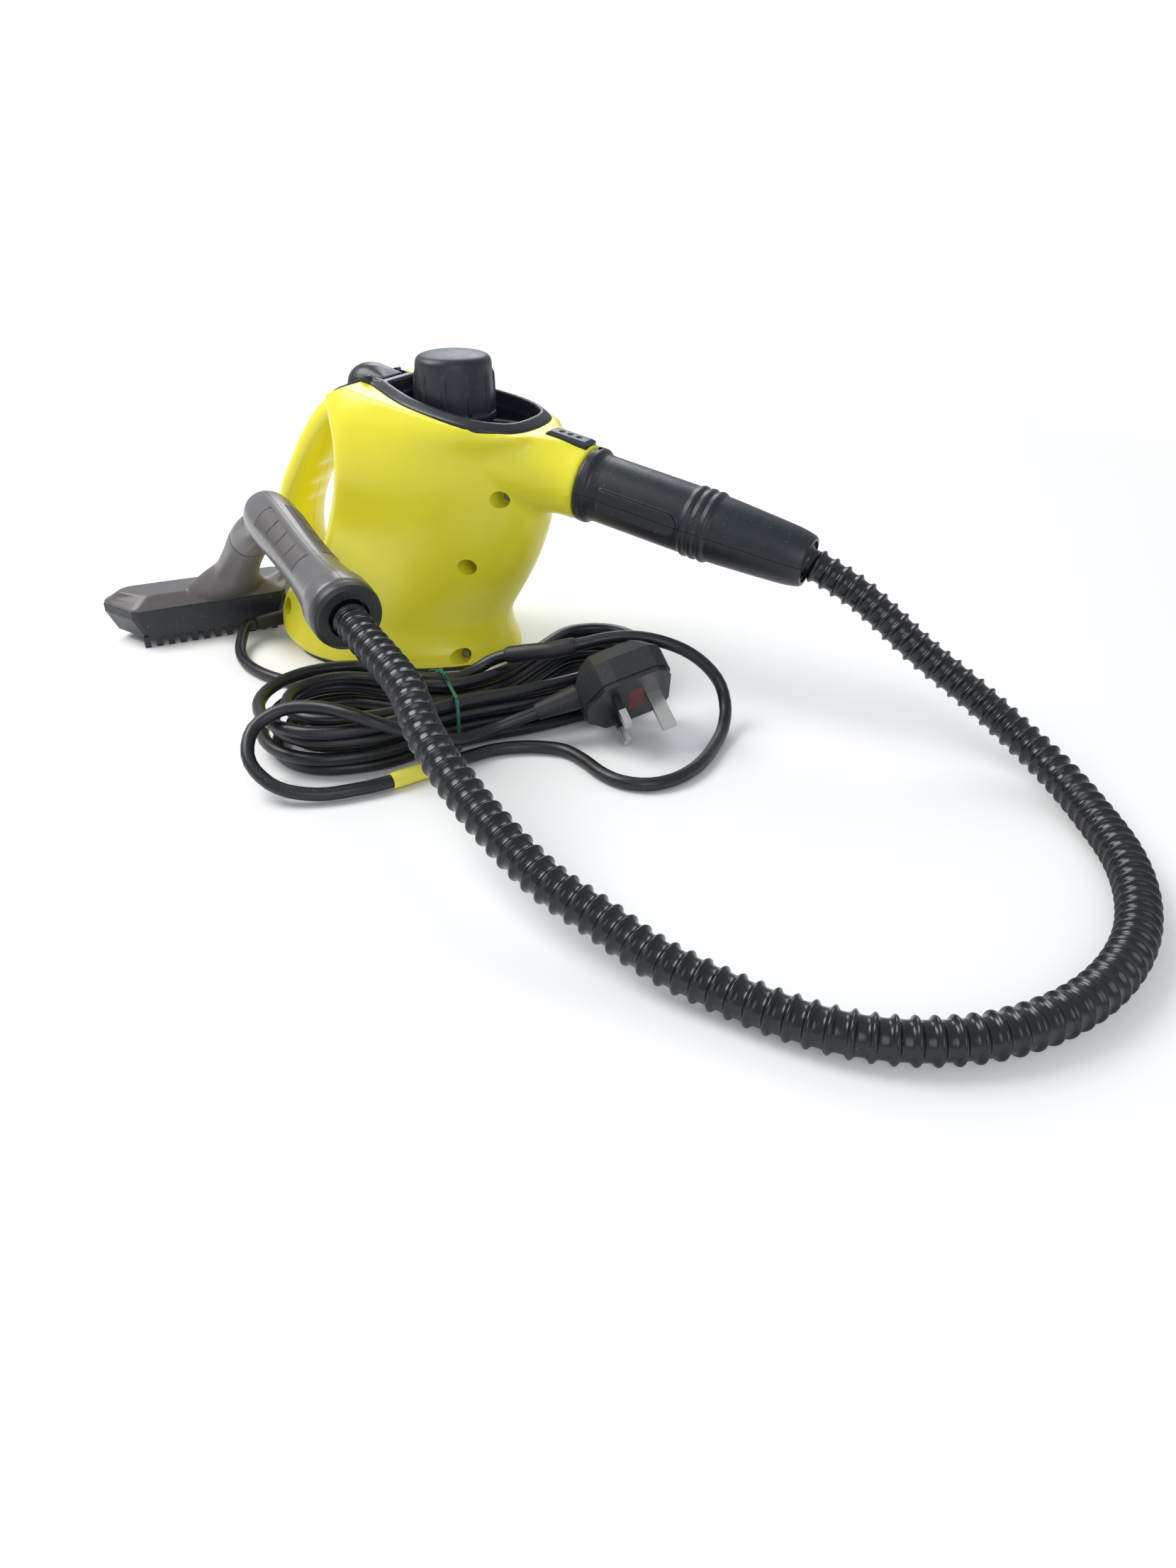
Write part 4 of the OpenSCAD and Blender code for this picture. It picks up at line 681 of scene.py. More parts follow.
PLUG_HALF, PLUG_RELIEF_LEN = 25, 24
PLUG_RELIEF_Y = -PLUG_HALF - PLUG_RELIEF_LEN
CORD_SIDES = 14
hank_in, hank_out = hank[0], hank[-1]
hank_in_dir = unit(hank[1] - hank[0])
lead_route = ([relief_point(RELIEF_LEN), relief_point(RELIEF_LEN + 6)]
              + [[-84, -66, 8], [-74, -80, 4.5], [-60, -91, 3.6], [-43, -98, 3.6], [-24, -101, 3.6],
                 [-3, -100, 3.6], [20, -96, 3.6], [43, -92.5, 3.6], [61, -91.5, 3.6], [75, -93, 3.6]]
              + [hank_in - 4 * hank_in_dir, hank_in])
tail_route = ([hank_out]
              + [[104.5, -80.5, 28.8], [109.5, -75.5, 32.4], [117, -72.5, 35.8], [126, -71, 38.6],
                 [138, -69.5, 41.2], [149, -66, 43.5], [160, -59, 46.3], [172, -51, 49], [185, -45, 50],
                 [199, -40, 48], [212, -33.5, 42], [222, -28, 33], [230, -26, 22.5], [236, -32, 12.5],
                 [240, -45, 6], [242, -62, 3.8], [243, -79, 3.6], [241.5, -94, 3.6], [236.5, -108, 3.6],
                 [227, -118, 3.6], [213.5, -121, 3.6], [200, -117, 3.6], [187, -109.5, 3.6],
                 [173, -104, 3.6], [160, -106, 3.6], [148, -112, 3.6], [138, -120.5, 3.6], [131.5, -132, 4],
                 [125, -146, 4.6], [118, -160, 4.6], [110, -176, 4.6], [99, -191, 4.6], [84, -205, 5],
                 [66, -213, 9], [49, -210.5, 18.5], [42.5, -197.5, 29], [51.5, -183.5, 36],
                 [69, -176, 37.5], [88, -173, 36], [104, -167, 31], [117, -152, 22], [126, -137, 14.5]]
              + [plug_point(-1, PLUG_RELIEF_Y - 26, -0.5), plug_point(-1, PLUG_RELIEF_Y - 12, -0.5),
                 plug_point(-1, PLUG_RELIEF_Y, -0.5)])

lead_line = smooth(lead_route, 8)
tail_line = smooth(tail_route, 6)
hank_line = smooth(hank, 3)
cord_line = np.concatenate([lead_line[:-1], hank_line[:-1], tail_line])
cord_path = even(cord_line, 5.0)
cord = tube("mains_cord", cord_path, CORD_D / 2, CORD_SIDES)
dressed(cord, ROOT, "cord_black", "power_cord_lead", "power_cord_hank", "power_cord_tail")


# ---- ties, sleeve and tag on the cord

# The sleeve and the tag lie between these stations along the tail, drawn in a little at each end.
STATION = 14
SLEEVE_FROM, SLEEVE_TO, SLEEVE_WALL = 2, 5, 1.35
TAG_FROM, TAG_TO, TAG_WALL = 29, 31, 0.85
END_GAP = 0.3


def sleeve_over(name, line, start, end, r, lip, sides=28):
    """A soft sleeve round a stretch of the cord, with rounded ends."""
    s = np.linspace(start, end, 26)
    path = along(line, s)
    k = np.minimum(s - start, end - s)
    outer = r - lip * np.exp(-(k / 0.9) ** 2)
    rings = tube_rings(path, outer, sides) + tube_rings(path, CORD_D / 2 + 0.12, sides)[::-1]
    return skin(name, rings, close=True, angle=60)


tail_path = even(tail_line, STATION)
tail_run = run_of(tail_path)
sleeve_ob = sleeve_over("cord_sleeve_soft", tail_path, tail_run[SLEEVE_FROM] + END_GAP,
                        tail_run[SLEEVE_TO] - END_GAP, CORD_D / 2 + SLEEVE_WALL, 0.5)
dressed(sleeve_ob, ROOT, "relief_black", "cord_sleeve")
tag_ob = sleeve_over("cord_tag_wrap", tail_path, tail_run[TAG_FROM] + END_GAP,
                     tail_run[TAG_TO] - END_GAP, CORD_D / 2 + TAG_WALL, 0.2)
dressed(tag_ob, ROOT, "tag_yellow", "cord_tag")

TIE_D = 1.4
TIE_CORNER = 4
TIE_LOW = 1.15
TIE_PLACES = (-32, -8)
TWIST_D = 1.24
HALF_W = WAIST_IN + WAIST_STEP * LAYER_TURNS + CORD_D / 2
HANK_H = LAYER_STEP * (LAYERS - 1) + CORD_D


def wire_tie(u, number):
    """A coated wire drawn round the waist of the hank."""
    side, top = HALF_W + 0.8 - TIE_CORNER, HANK_H + 1.9 - TIE_CORNER
    foot = TIE_LOW + TIE_CORNER
    loop = []
    for cy, cz, a0 in ((side, foot, -90), (side, top, 0), (-side, top, 90), (-side, foot, 180)):
        for k in range(7):
            a = math.radians(a0 + 15 * k)
            loop.append((cy + TIE_CORNER * math.cos(a), cz + TIE_CORNER * math.sin(a)))
    pts = smooth([hank_frame(u, y, z) for y, z in loop], 3, loop=True)
    n = len(pts)
    turn_u = math.radians(hank_turn(u))
    run_dir = np.array([math.cos(turn_u), math.sin(turn_u), 0])
    rings = []
    for i in range(n):
        over = np.cross(run_dir, unit(pts[(i + 1) % n] - pts[i - 1]))
        rings.append([pts[i] + TIE_D / 2 * (c * run_dir * 1.5 + s * over) for c, s in round_turn(12)])
    return skin("tie_loop_%d" % number, rings, close=True, angle=60)


def twisted_end(u, v, lean):
    """The two ends of a tie, twisted round each other on top and left standing, with their tips apart."""
    start = np.array(hank_frame(u, v, HANK_H + 1.6))
    steps, open_from = 30, 0.8
    strands = []
    for half in (0, math.pi):
        line = []
        for t in (i / (steps - 1) for i in range(steps)):
            a = half + 5.2 * math.pi * t
            wide = 0.75 + max(0.0, 1.6 * (t - open_from) / 0.2)
            line.append(start + np.array([lean[0] * t * t * 9 + wide * math.cos(a),
                                          lean[1] * t * t * 9 + wide * math.sin(a), 9.5 * t - 2.0 * t * t]))
        strands.append(tube("strand", np.array(line), TWIST_D / 2, 8))
    return strands


ties = joined("wire_ties", [wire_tie(u, number) for number, u in enumerate(TIE_PLACES)]
              + twisted_end(TIE_PLACES[1], 3, (-0.6, -0.5)) + twisted_end(TIE_PLACES[0], -2, (0.3, -0.7)))
dressed(ties, ROOT, "tie_green", "cord_ties", angle=60)


# ---- housing

FOOT_F, FOOT_R, BODY_W, WAIST_W, MID_W, SHOULDER_W, COVER_W = 82, 76, 128, 112, 104, 84, 75
# Each row: height, rear, front, widest place, half width, squareness to the rear and to the front, slope.
level_rows = [
    [2.5, 8 - FOOT_R, FOOT_F, -10, BODY_W / 2 - 0.5, 2.4, 1.7, 0],
    [8, -FOOT_R, FOOT_F - 0.5, -10, BODY_W / 2, 2.7, 1.75, 0],
    [16, -FOOT_R - 4, FOOT_F - 5, -10, BODY_W / 2 - 3, 2.8, 1.8, 0],
    [28, -FOOT_R - 3, FOOT_F - 7, -8, WAIST_W / 2, 2.8, 1.85, 0],
    [45, 16 - FOOT_R, FOOT_F + 3.5, -6, (WAIST_W + MID_W) / 4, 3, 1.9, 0],
    [62, 36 - FOOT_R, FOOT_F + 13, -4, MID_W / 2, 3.4, 2, 0],
    [90, 50 - FOOT_R, FOOT_F + 24, 0, MID_W / 2 - 1, 3.5, 2, 0],
    [116, 59 - FOOT_R, FOOT_F + 28.5, 0, MID_W / 2 - 2, 3.5, 2, 0],
    [137, 58 - FOOT_R, FOOT_F + 26.5, 2, (MID_W + SHOULDER_W) / 4, 3.4, 2.1, TILT / 3],
    [SHOULDER_H - 11, 44 - FOOT_R, FOOT_F + 26, 8, SHOULDER_W / 2 + 2.5, 2.8, 2.3, TILT * 0.65],
    [SHOULDER_H, 36 - FOOT_R, FOOT_F + 26, 24, SHOULDER_W / 2, 2.3, 3.1, TILT],
    [SHOULDER_H + TOP_LEVEL, 37 - FOOT_R, FOOT_F + 27, 28, COVER_W / 2 + 1.2, 2.2, 3.7, TILT],
]


def power(value, n):
    """A power that keeps the sign."""
    return math.copysign(abs(value) ** n, value)


def oval(rear, front, mid, half, rear_n, front_n, count):
    """A level outline whose rear and front ends have their own squareness."""
    out = []
    for c, s in round_turn(count):
        n, reach = (rear_n, mid - rear) if c < 0 else (front_n, front - mid)
        out.append((mid + reach * power(c, 2 / n), half * power(s, 2 / n)))
    return out


def body_solid():
    """Ovals up the body, whose rows are blurred along the height, sharply at the foot and softly above."""
    table = np.array(level_rows, float)
    at = np.linspace(table[0, 0], table[-1, 0], 92)
    rows = rising(table[:, 0], table[:, 1:], at)
    mirrored = np.concatenate([2 * rows[0] - rows[:0:-1], rows, 2 * rows[-1] - rows[-2::-1]])
    count = len(at)
    for i, z in enumerate(at):
        spread = 1.6 if z < 20 else 1.6 + 7.4 * min(1.0, (z - 20) / 22)
        weight = np.exp(-((np.arange(len(mirrored)) - (count - 1 + i)) * (at[1] - at[0]) / spread) ** 2 / 2)
        rows[i] = (weight[:, None] * mirrored).sum(axis=0) / weight.sum()
    return skin("body_form", [[(x, y, z - math.tan(math.radians(row[6])) * x)
                               for x, y in oval(*row[:6], 168)] for z, row in zip(at, rows)])


NECK_BACK = 62
neck_flare = [[0, 0], [6, 0.1], [14, 1], [24, 3.2], [34, 6.2], [44, 9.2], [54, 11.6], [NECK_BACK, 13]]


def neck_solid():
    """The neck flares into the body and stays under the plane of the top."""
    z = np.linspace(0, NECK_BACK, 40)
    grow = rising([p[0] for p in neck_flare], [[p[1]] for p in neck_flare], z)[:, 0]
    top = AT_TOP.inverted()
    rings = []
    for zz, g in zip(z, grow):
        ring = []
        r = NECK_R + g - (0.7 * (1 - zz / 0.8) if zz < 0.8 else 0)
        for spot in circle(r, zz, 120):
            p = top @ (AT_NECK @ Vector(spot))
            p.z = min(p.z, TOP_LEVEL - 0.05)
            ring.append(tuple(AT_TOP @ p))
        rings.append(ring)
    return skin("neck_form", rings)


handle_line = [(-6, 149), (-20, 149.5), (-34, 144.5), (-45, 135), (-55, 122), (-64, 108), (-73, 93),
               (-79, 77), (-81, 60), (-78, 44), (-70, 30), (-58, 20)]
HANDLE_T, HANDLE_W = 21, 40
FINGER_Z, FINGER_DEEP = (113, 100, 87), 1.5


def handle_solid():
    """The rear handle, with shallow finger grooves on its inner side."""
    line = smooth([(x, 0, z) for x, z in handle_line], 14)
    run = run_of(line)
    grooves = [np.interp(v, line[::-1, 2], run[::-1]) for v in FINGER_Z]
    rings = []
    for p, step, at in zip(line, np.gradient(line, axis=0), run):
        inner = unit(np.array([-step[2], 0, step[0]]))
        dip = sum(math.exp(-((at - g) / 3.2) ** 2) for g in grooves)
        ring = []
        for c, s in round_turn(64):
            t = HANDLE_T / 2
            if c > 0:
                t -= FINGER_DEEP * dip * max(0.0, 1 - (s / 0.75) ** 2)
            side = power(s, 0.92) * (HANDLE_W / 2) * np.array([0, 1, 0])
            ring.append(p + power(c, 0.92) * t * inner + side)
        rings.append(ring)
    return skin("handle_form", rings)


def soften_where(ob, weight_of, rounds, factor=0.5):
    """Smooths a mesh where a weight says so."""
    group = ob.vertex_groups.new(name="blend")
    for v in ob.data.vertices:
        w = weight_of(v.co.x / MM, v.co.y / MM, v.co.z / MM)
        if w > 0.01:
            group.add([v.index], w, "REPLACE")
    mod = ob.modifiers.new("soft", "SMOOTH")
    mod.vertex_group = "blend"
    mod.factor = factor
    mod.iterations = rounds
    baked(ob)
    ob.vertex_groups.clear()


def fade(value, full, none):
    """1 up to the first value, 0 from the second on."""
    return max(0.0, min(1.0, (none - value) / (none - full)))


def blend_weight(x, y, z):
    """Where the neck and the handle run into the body."""
    w = 0.0
    if x > 78:
        local = AT_NECK.inverted() @ Vector((x, y, z))
        r = math.hypot(local.x, local.y)
        w = fade(abs(local.z - 34), 24, 34) * fade(r, 46, 60) * (1 if local.z > 6 else 0)
        w *= fade(z, 148, 158)
    elif x < -14:
        upper = fade(math.dist((x, z), (-40, 138)), 16, 30)
        lower = fade(math.dist((x, z), (-66, 34)), 18, 34) * fade(-z, -14, -9)
        w = max(upper, lower)
    return w


SCREW_HOLE_R = 5
screw_places = [[91, 110, 17], [71, 69, 17], [62, 9.5, 26], [-60, 26, 24]]
# The lever's pocket: its rear and front ends, its half width, and its floor in the cover and in the housing.
POCKET_REAR, POCKET_FRONT, POCKET_HALF, POCKET_Z, POCKET_UNDER = -28.5, 5.2, 12.9, 149, 144
WELL_RIM, WELL_REAR = 6.5, 8.2

cover_half = [
    [TAIL_X, 17], [0, 18], [17, COVER_W / 2 - 10.5], [32, COVER_W / 2 - 4],
    [48, COVER_W / 2 - 1], [62, COVER_W / 2], [74, COVER_W / 2 - 0.5], [84, COVER_W / 2 - 3],
    [92, COVER_W / 2 - 8], [98, COVER_W / 2 - 14], [101.5, 14], [102.5, 5],
]


def cover_curve():
    """The outline of the cover as a smooth curve, square only at its rear end."""
    curve = smooth(cover_half + [[102.7, 0]] + [[x, -y] for x, y in cover_half[::-1]], 6)
    return np.array([*curve] + [(TAIL_X, y) for y in np.linspace(-17, 17, 14)[1:-1]])


COVER_CURVE = cover_curve()


def inwards(outline, middle, inset):
    """An outline whose corners are moved square to their neighbours' line towards a middle."""
    pts = np.array(outline, float)
    out = []
    for before, point, after in zip(np.roll(pts, 1, axis=0), pts, np.roll(pts, -1, axis=0)):
        d = unit(after - before)
        inward = np.array([d[1], -d[0]])
        out.append(point + inset * math.copysign(1, np.dot(inward, middle - point)) * inward)
    return out


def cover_ring(inset, least_x=-math.inf):
    low = max(TAIL_X + inset, least_x)
    return [(max(x, low), y) for x, y in inwards(COVER_CURVE, (45.0, 0), inset)]


def top_ring(outline, height):
    return moved(AT_TOP, [(x, y, height) for x, y in outline])


def level_in_top(outline, z):
    """The outline carried down square to the top until it meets a level."""
    t = math.radians(TILT)
    return moved(AT_TOP, [(x, y, (z - SHOULDER_H + x * math.sin(t)) / math.cos(t)) for x, y in outline])


tail_half = [[6, 17], [-14, 16.4], [-21, 16], [-25.5, 13.6], [-28, 10]]
tail_shape = tail_half + [[x, -y] for x, y in tail_half[::-1]]


def tail_ring(inset):
    return inwards(tail_shape, (sum(x for x, y in tail_shape) / len(tail_shape), 0), inset)


def housing_skin():
    """Body, neck and handle in one, with the seats and holes of what they hold."""
    ob = joined("housing_form", [body_solid(), neck_solid(), handle_solid()])
    voxel(ob, 1.3, 2)
    soften_where(ob, blend_weight, 40)
    voxel(ob, 0.85, 6)
    for x, z, depth in screw_places:
        cut(ob, cylinder("hole", SCREW_HOLE_R, -100, -depth,
                         placed((x, 0, z), rx=90) @ Matrix.Scale(-1, 4, (0, 0, 1))))
    seat, well = cover_ring(-0.2), cover_ring(WELL_RIM - 0.4, WELL_REAR - 0.4)
    cut(ob, skin("seat", [top_ring(seat, TOP_LEVEL - 7), top_ring(seat, 20)]))
    cut(ob, prism("tail_seat", tail_ring(-0.2), -6, 14, AT_TAIL))
    cut(ob, box("over_tail", (-200, -100, 0), (2, 100, 100), AT_TAIL))
    cut(ob, skin("well_seat", [level_in_top(well, 137.4), top_ring(well, 20)]))
    cut(ob, box("slot", (11.5, -6.9, 2.1), (32, 6.9, 28.9), AT_NECK))
    cut(ob, cylinder("nozzle_bore", 12.2, -1, 30, AT_NECK))
    cut(ob, box("pocket", (POCKET_REAR, -POCKET_HALF, POCKET_UNDER), (POCKET_FRONT + 0.3, POCKET_HALF, 190)))
    cut(ob, cylinder("relief_bore", 5.2, -12, 18, placed(RELIEF_AT, rz=RELIEF_TURN) @ turn(0, 90, 0)))
    return ob


# Half the seam between two shells, in the housing, in the adapter and in the grip.
HOUSING_SEAM, ADAPTER_SEAM, GRIP_SEAM = 0.14, 0.13, 0.12
in_halves(housing_skin(), HOUSING_SEAM, 1, Matrix(), "housing_yellow",
          ("housing_right_skin", "right_housing"), ("housing_left_skin", "left_housing"))


# ---- top cover, lever, cap, button

RIM_RISE, RIM_INSET, RIM_W, WELL_Z = 7.6, 5.6, 8.5, 140
LOCK_X, LOCK_Z = -30.8, 154.6


def cover_solid():
    """The wall of the well, from its floor outside up over the rim and down inside, with the rear tail."""
    top = [top_ring(cover_ring(inset, least), height) for inset, least, height in (
        (WELL_RIM, WELL_REAR, -3.0), (0.15, TAIL_X, -3.0), (0.15, TAIL_X, 4.0), (0.35, TAIL_X, 4.5),
        (1.2, TAIL_X, 5.2), (2.8, TAIL_X, 6.15), (4.5, TAIL_X, 7.15), (RIM_INSET, TAIL_X, RIM_RISE),
        (RIM_INSET + 1.0, 6.6, RIM_RISE), (RIM_INSET + 1.6, 7.3, RIM_RISE - 0.7), (RIM_W - 0.5, 9, 0.2),
        (RIM_W, 10, -1.2))]
    under = [level_in_top(cover_ring(WELL_RIM, WELL_REAR), 137.9)]
    inside = [level_in_top(cover_ring(RIM_W + inset, 9.8 + inset), WELL_Z + z)
              for inset, z in ((0.2, 1.6), (0.8, 0.4), (1.8, 0))]
    ob = joined("top_cover_shell", [skin("cover_form", under + top + inside),
                                    prism("tail_form", tail_ring(0.15), -5.7, 2, AT_TAIL)])
    voxel(ob, 0.6, 4)
    cut(ob, box("pocket", (POCKET_REAR, -POCKET_HALF, POCKET_Z), (POCKET_FRONT, POCKET_HALF, 190)))
    cut(ob, box("lock_slot", (LOCK_X - 2.6, -7.3, LOCK_Z - 2), (LOCK_X + 2.6, 7.3, LOCK_Z + 20)))
    cut(ob, cylinder("filler_hole", 14, 130, 150, placed((CAP_X, 0, 0))))
    return ob


dressed(cover_solid(), ROOT, "cover_black", "top_cover", angle=42)

for name, node, body, size, passes in (("steam_lever_soft", "steam_lever", "lever", 0.55, 10),
                                       ("release_button_soft", "release_button", "button", 0.35, 3)):
    ob = cad_copy(name, node)
    voxel(ob, size, passes)
    dressed(ob, body, "cover_black", node, angle=60)

CAP_LOW, CAP_TOP = 146, 184
CAP_RIBS, CAP_RIB_H = 10, 1.15


def cap_shell():
    """A dome with thin upright ribs that fade out below its shoulder."""
    outline = [(21.0, CAP_LOW), (22.8, CAP_LOW + 0.05), (23.55, CAP_LOW + 0.5), (23.9, CAP_LOW + 1.4),
               (23.9, CAP_LOW + 3.4), (23.6, CAP_LOW + 4.4), (23.0, CAP_LOW + 5.2), (22.85, 156),
               (22.75, 161), (22.6, 166), (22.45, 171), (22.3, 175), (22.1, 177.6), (21.6, 179.4),
               (20.4, 180.9), (18.3, 182.0), (14.4, 182.9), (9.2, 183.6), (4.0, 183.95), (0, CAP_TOP)]
    curve = smooth([(r, z, 0) for r, z in outline], 5)[:, :2]
    inner = [(0, 164), (18.6, 164), (19, 163.4), (19, CAP_LOW + 0.4), (19.4, CAP_LOW)]
    rib_low, count = 150.5, 480
    rings = [[(CAP_X + x, y, z) for x, y, z in circle(r, z, count)] for r, z in inner]
    for r, z in curve:
        tall = CAP_RIB_H * fade(z, 171.0, 174.0) * fade(-z, -rib_low - 1.2, -rib_low)
        ring = []
        for k in range(count):
            a = 2 * math.pi * k / count
            off = (a * CAP_RIBS / (2 * math.pi) + 0.5) % 1.0 - 0.5
            across = off * 2 * math.pi / CAP_RIBS * max(r, 1)
            rr = max(r + tall / (1.0 + math.exp((abs(across) - 1.0) / 0.09)), 0.01)
            ring.append((CAP_X + rr * math.cos(a), rr * math.sin(a), z))
        rings.append(ring)
    return skin("safety_cap_dome", rings, angle=55)


dressed(cap_shell(), "cap_shell", "cover_black", "safety_cap", finish="cap_black")

grommet = revolve("grommet_flare", [(13.3, 139.9), (22.8, 139.9), (22.9, 140.6), (22.2, 142.4), (21.6, 143.5),
                                    (20.9, 144.0), (19.6, 144.1), (13.3, 144.1)],
                  placed((CAP_X, 0, 0)), 128, closed=True)
dressed(grommet, ROOT, "cover_black", "cover_grommet", finish="ring_black")


# ---- adapter

# Each pair: radius and distance along the adapter, over its collar, its barrel, three ribs and its taper.
adapter_profile = [
    (0.01, 0.35), (20.4, 0.35), (21.2, 0.9), (21.4, 1.8), (21.4, 5.4), (21.0, 6.2), (19.7, 7.4), (19.2, 9),
    (19, 12), (19, 64.6), (19.1, 65.4), (19.6, 66.2), (20.0, 66.9), (20.05, 67.8), (19.9, 68.7), (19.3, 69.4),
    (18.95, 70.2), (19.3, 71.0), (19.9, 71.8), (20.05, 72.8), (20.0, 73.9), (19.4, 74.8), (18.95, 75.7),
    (19.3, 76.6), (19.9, 77.4), (20.05, 78.4), (19.9, 79.4), (19.3, 80.4), (18.6, 81.3), (18.5, 84),
    (18.35, 88), (18.0, 94), (17.6, 101), (17.1, 109), (16.6, 117), (16.25, 122), (15.9, 126), (15.4, 129.5),
    (14.8, 132.5), (14.2, 134.8), (13.4, 135.8), (0.01, 135.9),
]
PAD_HALF, PAD_FROM, PAD_TO = 6.4, 15.5, 57.5


def adapter_solid():
    """A turned body with a raised pad on each side, square at the collar and round at the ribs."""
    form = revolve("adapter_form", adapter_profile, AT_ADAPTER, 160)
    shape = ([(-PAD_HALF, PAD_FROM), (PAD_HALF, PAD_FROM), (PAD_HALF, PAD_TO)]
             + [(PAD_HALF * math.cos(a), PAD_TO + PAD_HALF * math.sin(a))
                for a in np.linspace(0.2, math.pi - 0.2, 14)] + [(-PAD_HALF, PAD_TO)])
    pads = [skin("side_pad", [moved(AT_ADAPTER, [(x * q, s * y, z) for x, z in shape])
                              for y, q in ((14.0, 1.0), (19.4, 1.0), (20.2, 0.985), (20.45, 0.95))])
            for s in (-1, 1)]
    ob = joined("adapter_solid", [form] + pads)
    voxel(ob, 0.45, 2)
    cut(ob, box("notch", (-24, -4.2, -1), (-19.6, 4.2, 4.2), AT_ADAPTER))
    cut(ob, cylinder("nozzle_bore", 7.1, -1, 19, AT_ADAPTER))
    cut(ob, cylinder("hose_room", 11.7, 112, 140, AT_ADAPTER))
    return ob


in_halves(adapter_solid(), ADAPTER_SEAM, 0, AT_ADAPTER, "adapter_black",
          ("adapter_upper_skin", "adapter_upper"), ("adapter_lower_skin", "adapter_lower"))


# ---- grip and neck of the steam head

grip_profile = [
    (0.01, 0.0), (17.4, 0.0), (18.4, 0.5), (18.85, 1.6), (19.0, 3.5), (19.0, 9.0), (18.7, 12.5), (17.5, 18),
    (16.4, 25), (15.7, 32), (15.0, 41), (14.6, 50), (14.45, 60), (14.4, 70), (14.55, 80), (14.8, 90),
    (15.1, 99), (15.4, 108), (15.6, 116), (15.6, 122), (15.45, 128), (15.0, 133), (14.2, 138), (12.8, 142),
    (10.8, 145.2), (8.0, 147.4), (4.5, 148.7), (0.01, 149),
]
# Each row: a place on the neck's centreline, its half thickness and its half width.
neck_line = [
    (-8, HAND_Y, 90, 11, 12), (8, HAND_Y + 4, 83.5, 12, 12), (20, HAND_Y + 8, 74, 12, 12),
    (34, HAND_Y + 11, 60, 11, 12), (47, HAND_Y + 13, 47, 11, 14), (58, HAND_Y + 16, 38, 11, 20),
    (68, HAND_Y + 18, 30, 10, 26),
]
NECK_LEAN = 135
NECK_CUT = AT_HAND @ placed(neck_line[2][:3], ry=NECK_LEAN)
PADS_FROM, PADS_TO, PADS_HALF, PADS_ROUND = 44, 112, 7, 42
PAD_GROOVES, PAD_RIB_STEP = (60, 76, 92), 1.35


def neck_sweep(name, first, last):
    """The neck between two of its rows, flat ended and square to the lean."""
    line = smooth(neck_line, 12)[first * 12:last * 12 + 1]
    return skin(name, [moved(AT_HAND @ placed((x, y, z), ry=NECK_LEAN),
                             [(t * power(c, 0.88), w * power(s, 0.88), 0) for c, s in round_turn(72)])
                       for x, y, z, t, w in line])


def grip_solid():
    """The turned grip with the start of the neck, hollow at the hose end and let in for the pads."""
    form = revolve("grip_form", grip_profile, AT_GRIP, 144)
    ob = joined("grip_solid", [form, neck_sweep("grip_neck", 0, 2)])
    voxel(ob, 0.75, 10)
    cut(ob, box("beyond", (-60, -60, 0.15), (60, 60, 80), NECK_CUT))
    cut(ob, cylinder("bell", 15.1, -1, 9.9, AT_GRIP))
    for a in (-1, 1):
        cut(ob, box("pad_room", (13.3, -PADS_HALF, PADS_FROM), (22, PADS_HALF, PADS_TO),
                    AT_GRIP @ turn(0, 0, 180 + PADS_ROUND * a)))
    for s in (34, 124):
        cut(ob, cylinder("screw_room", 3.2, 12, 30, AT_GRIP @ placed((0, 0, s), rx=90), 40))
    cut(ob, box("bell_slot", (-3.4, 15.2, 16), (3.4, 22, 19.4), AT_GRIP @ turn(0, 0, 205)))
    return ob


in_halves(grip_solid(), GRIP_SEAM, 1, AT_HAND @ placed((0, HAND_Y, 0)), "grip_grey",
          ("grip_right_skin", "grip_right"), ("grip_left_skin", "grip_left"))


def grip_radius(s):
    return np.interp(s, [p[1] for p in grip_profile[1:]], [p[0] for p in grip_profile[1:]])


def pad(a0, number):
    """A soft pad let into the grip, with fine ribs and three curved grooves."""
    rows, cols = 330, 44
    low, high, half = PADS_FROM + 0.35, PADS_TO - 0.35, PADS_HALF - 0.4
    rings = []
    for s in (low + (high - low) * i / (rows - 1) for i in range(rows)):
        end = min(s - low, high - s)
        ring = []
        for w in (-half + 2 * half * k / (cols - 1) for k in range(cols)):
            edge = min(end, half - abs(w))
            bow = 1.6 * (w / half) ** 2
            groove = sum(math.exp(-(((s - g) - bow) / 0.55) ** 2) for g in PAD_GROOVES)
            rib = 0.10 * math.sin(2 * math.pi * s / PAD_RIB_STEP) * min(1.0, max(0.0, (abs(w) - 2.2) / 1.5))
            r = grip_radius(s) + 0.32 - 0.75 * groove + rib - 0.9 * math.exp(-(edge / 0.55) ** 2)
            ring.append((math.sqrt(max(r * r - w * w, 1)), w, s))
        ring += [(13.55, half, s), (13.55, -half, s)]
        rings.append(moved(AT_GRIP @ turn(0, 0, a0), ring))
    return skin("pad_%d" % number, rings, angle=60)


pads = joined("grip_pads_soft", [pad(180 - PADS_ROUND, 0), pad(180 + PADS_ROUND, 1)])
dressed(pads, ROOT, "pad_grey", "grip_pads", angle=60)


# ---- steam head

HEAD_DEPTH, HEAD_LEN, HEAD_SPLAY, HEAD_H, SKIRT_TOP = 37, 99, 14, 33, 24.5
AT_HEAD = placed((0, 0, 0), rz=142) @ placed((69, 117.5, 0))
foot = AT_HAND @ Vector((62, HAND_Y + 17, 34))
HEAD_FOOT = (foot.x, foot.y)


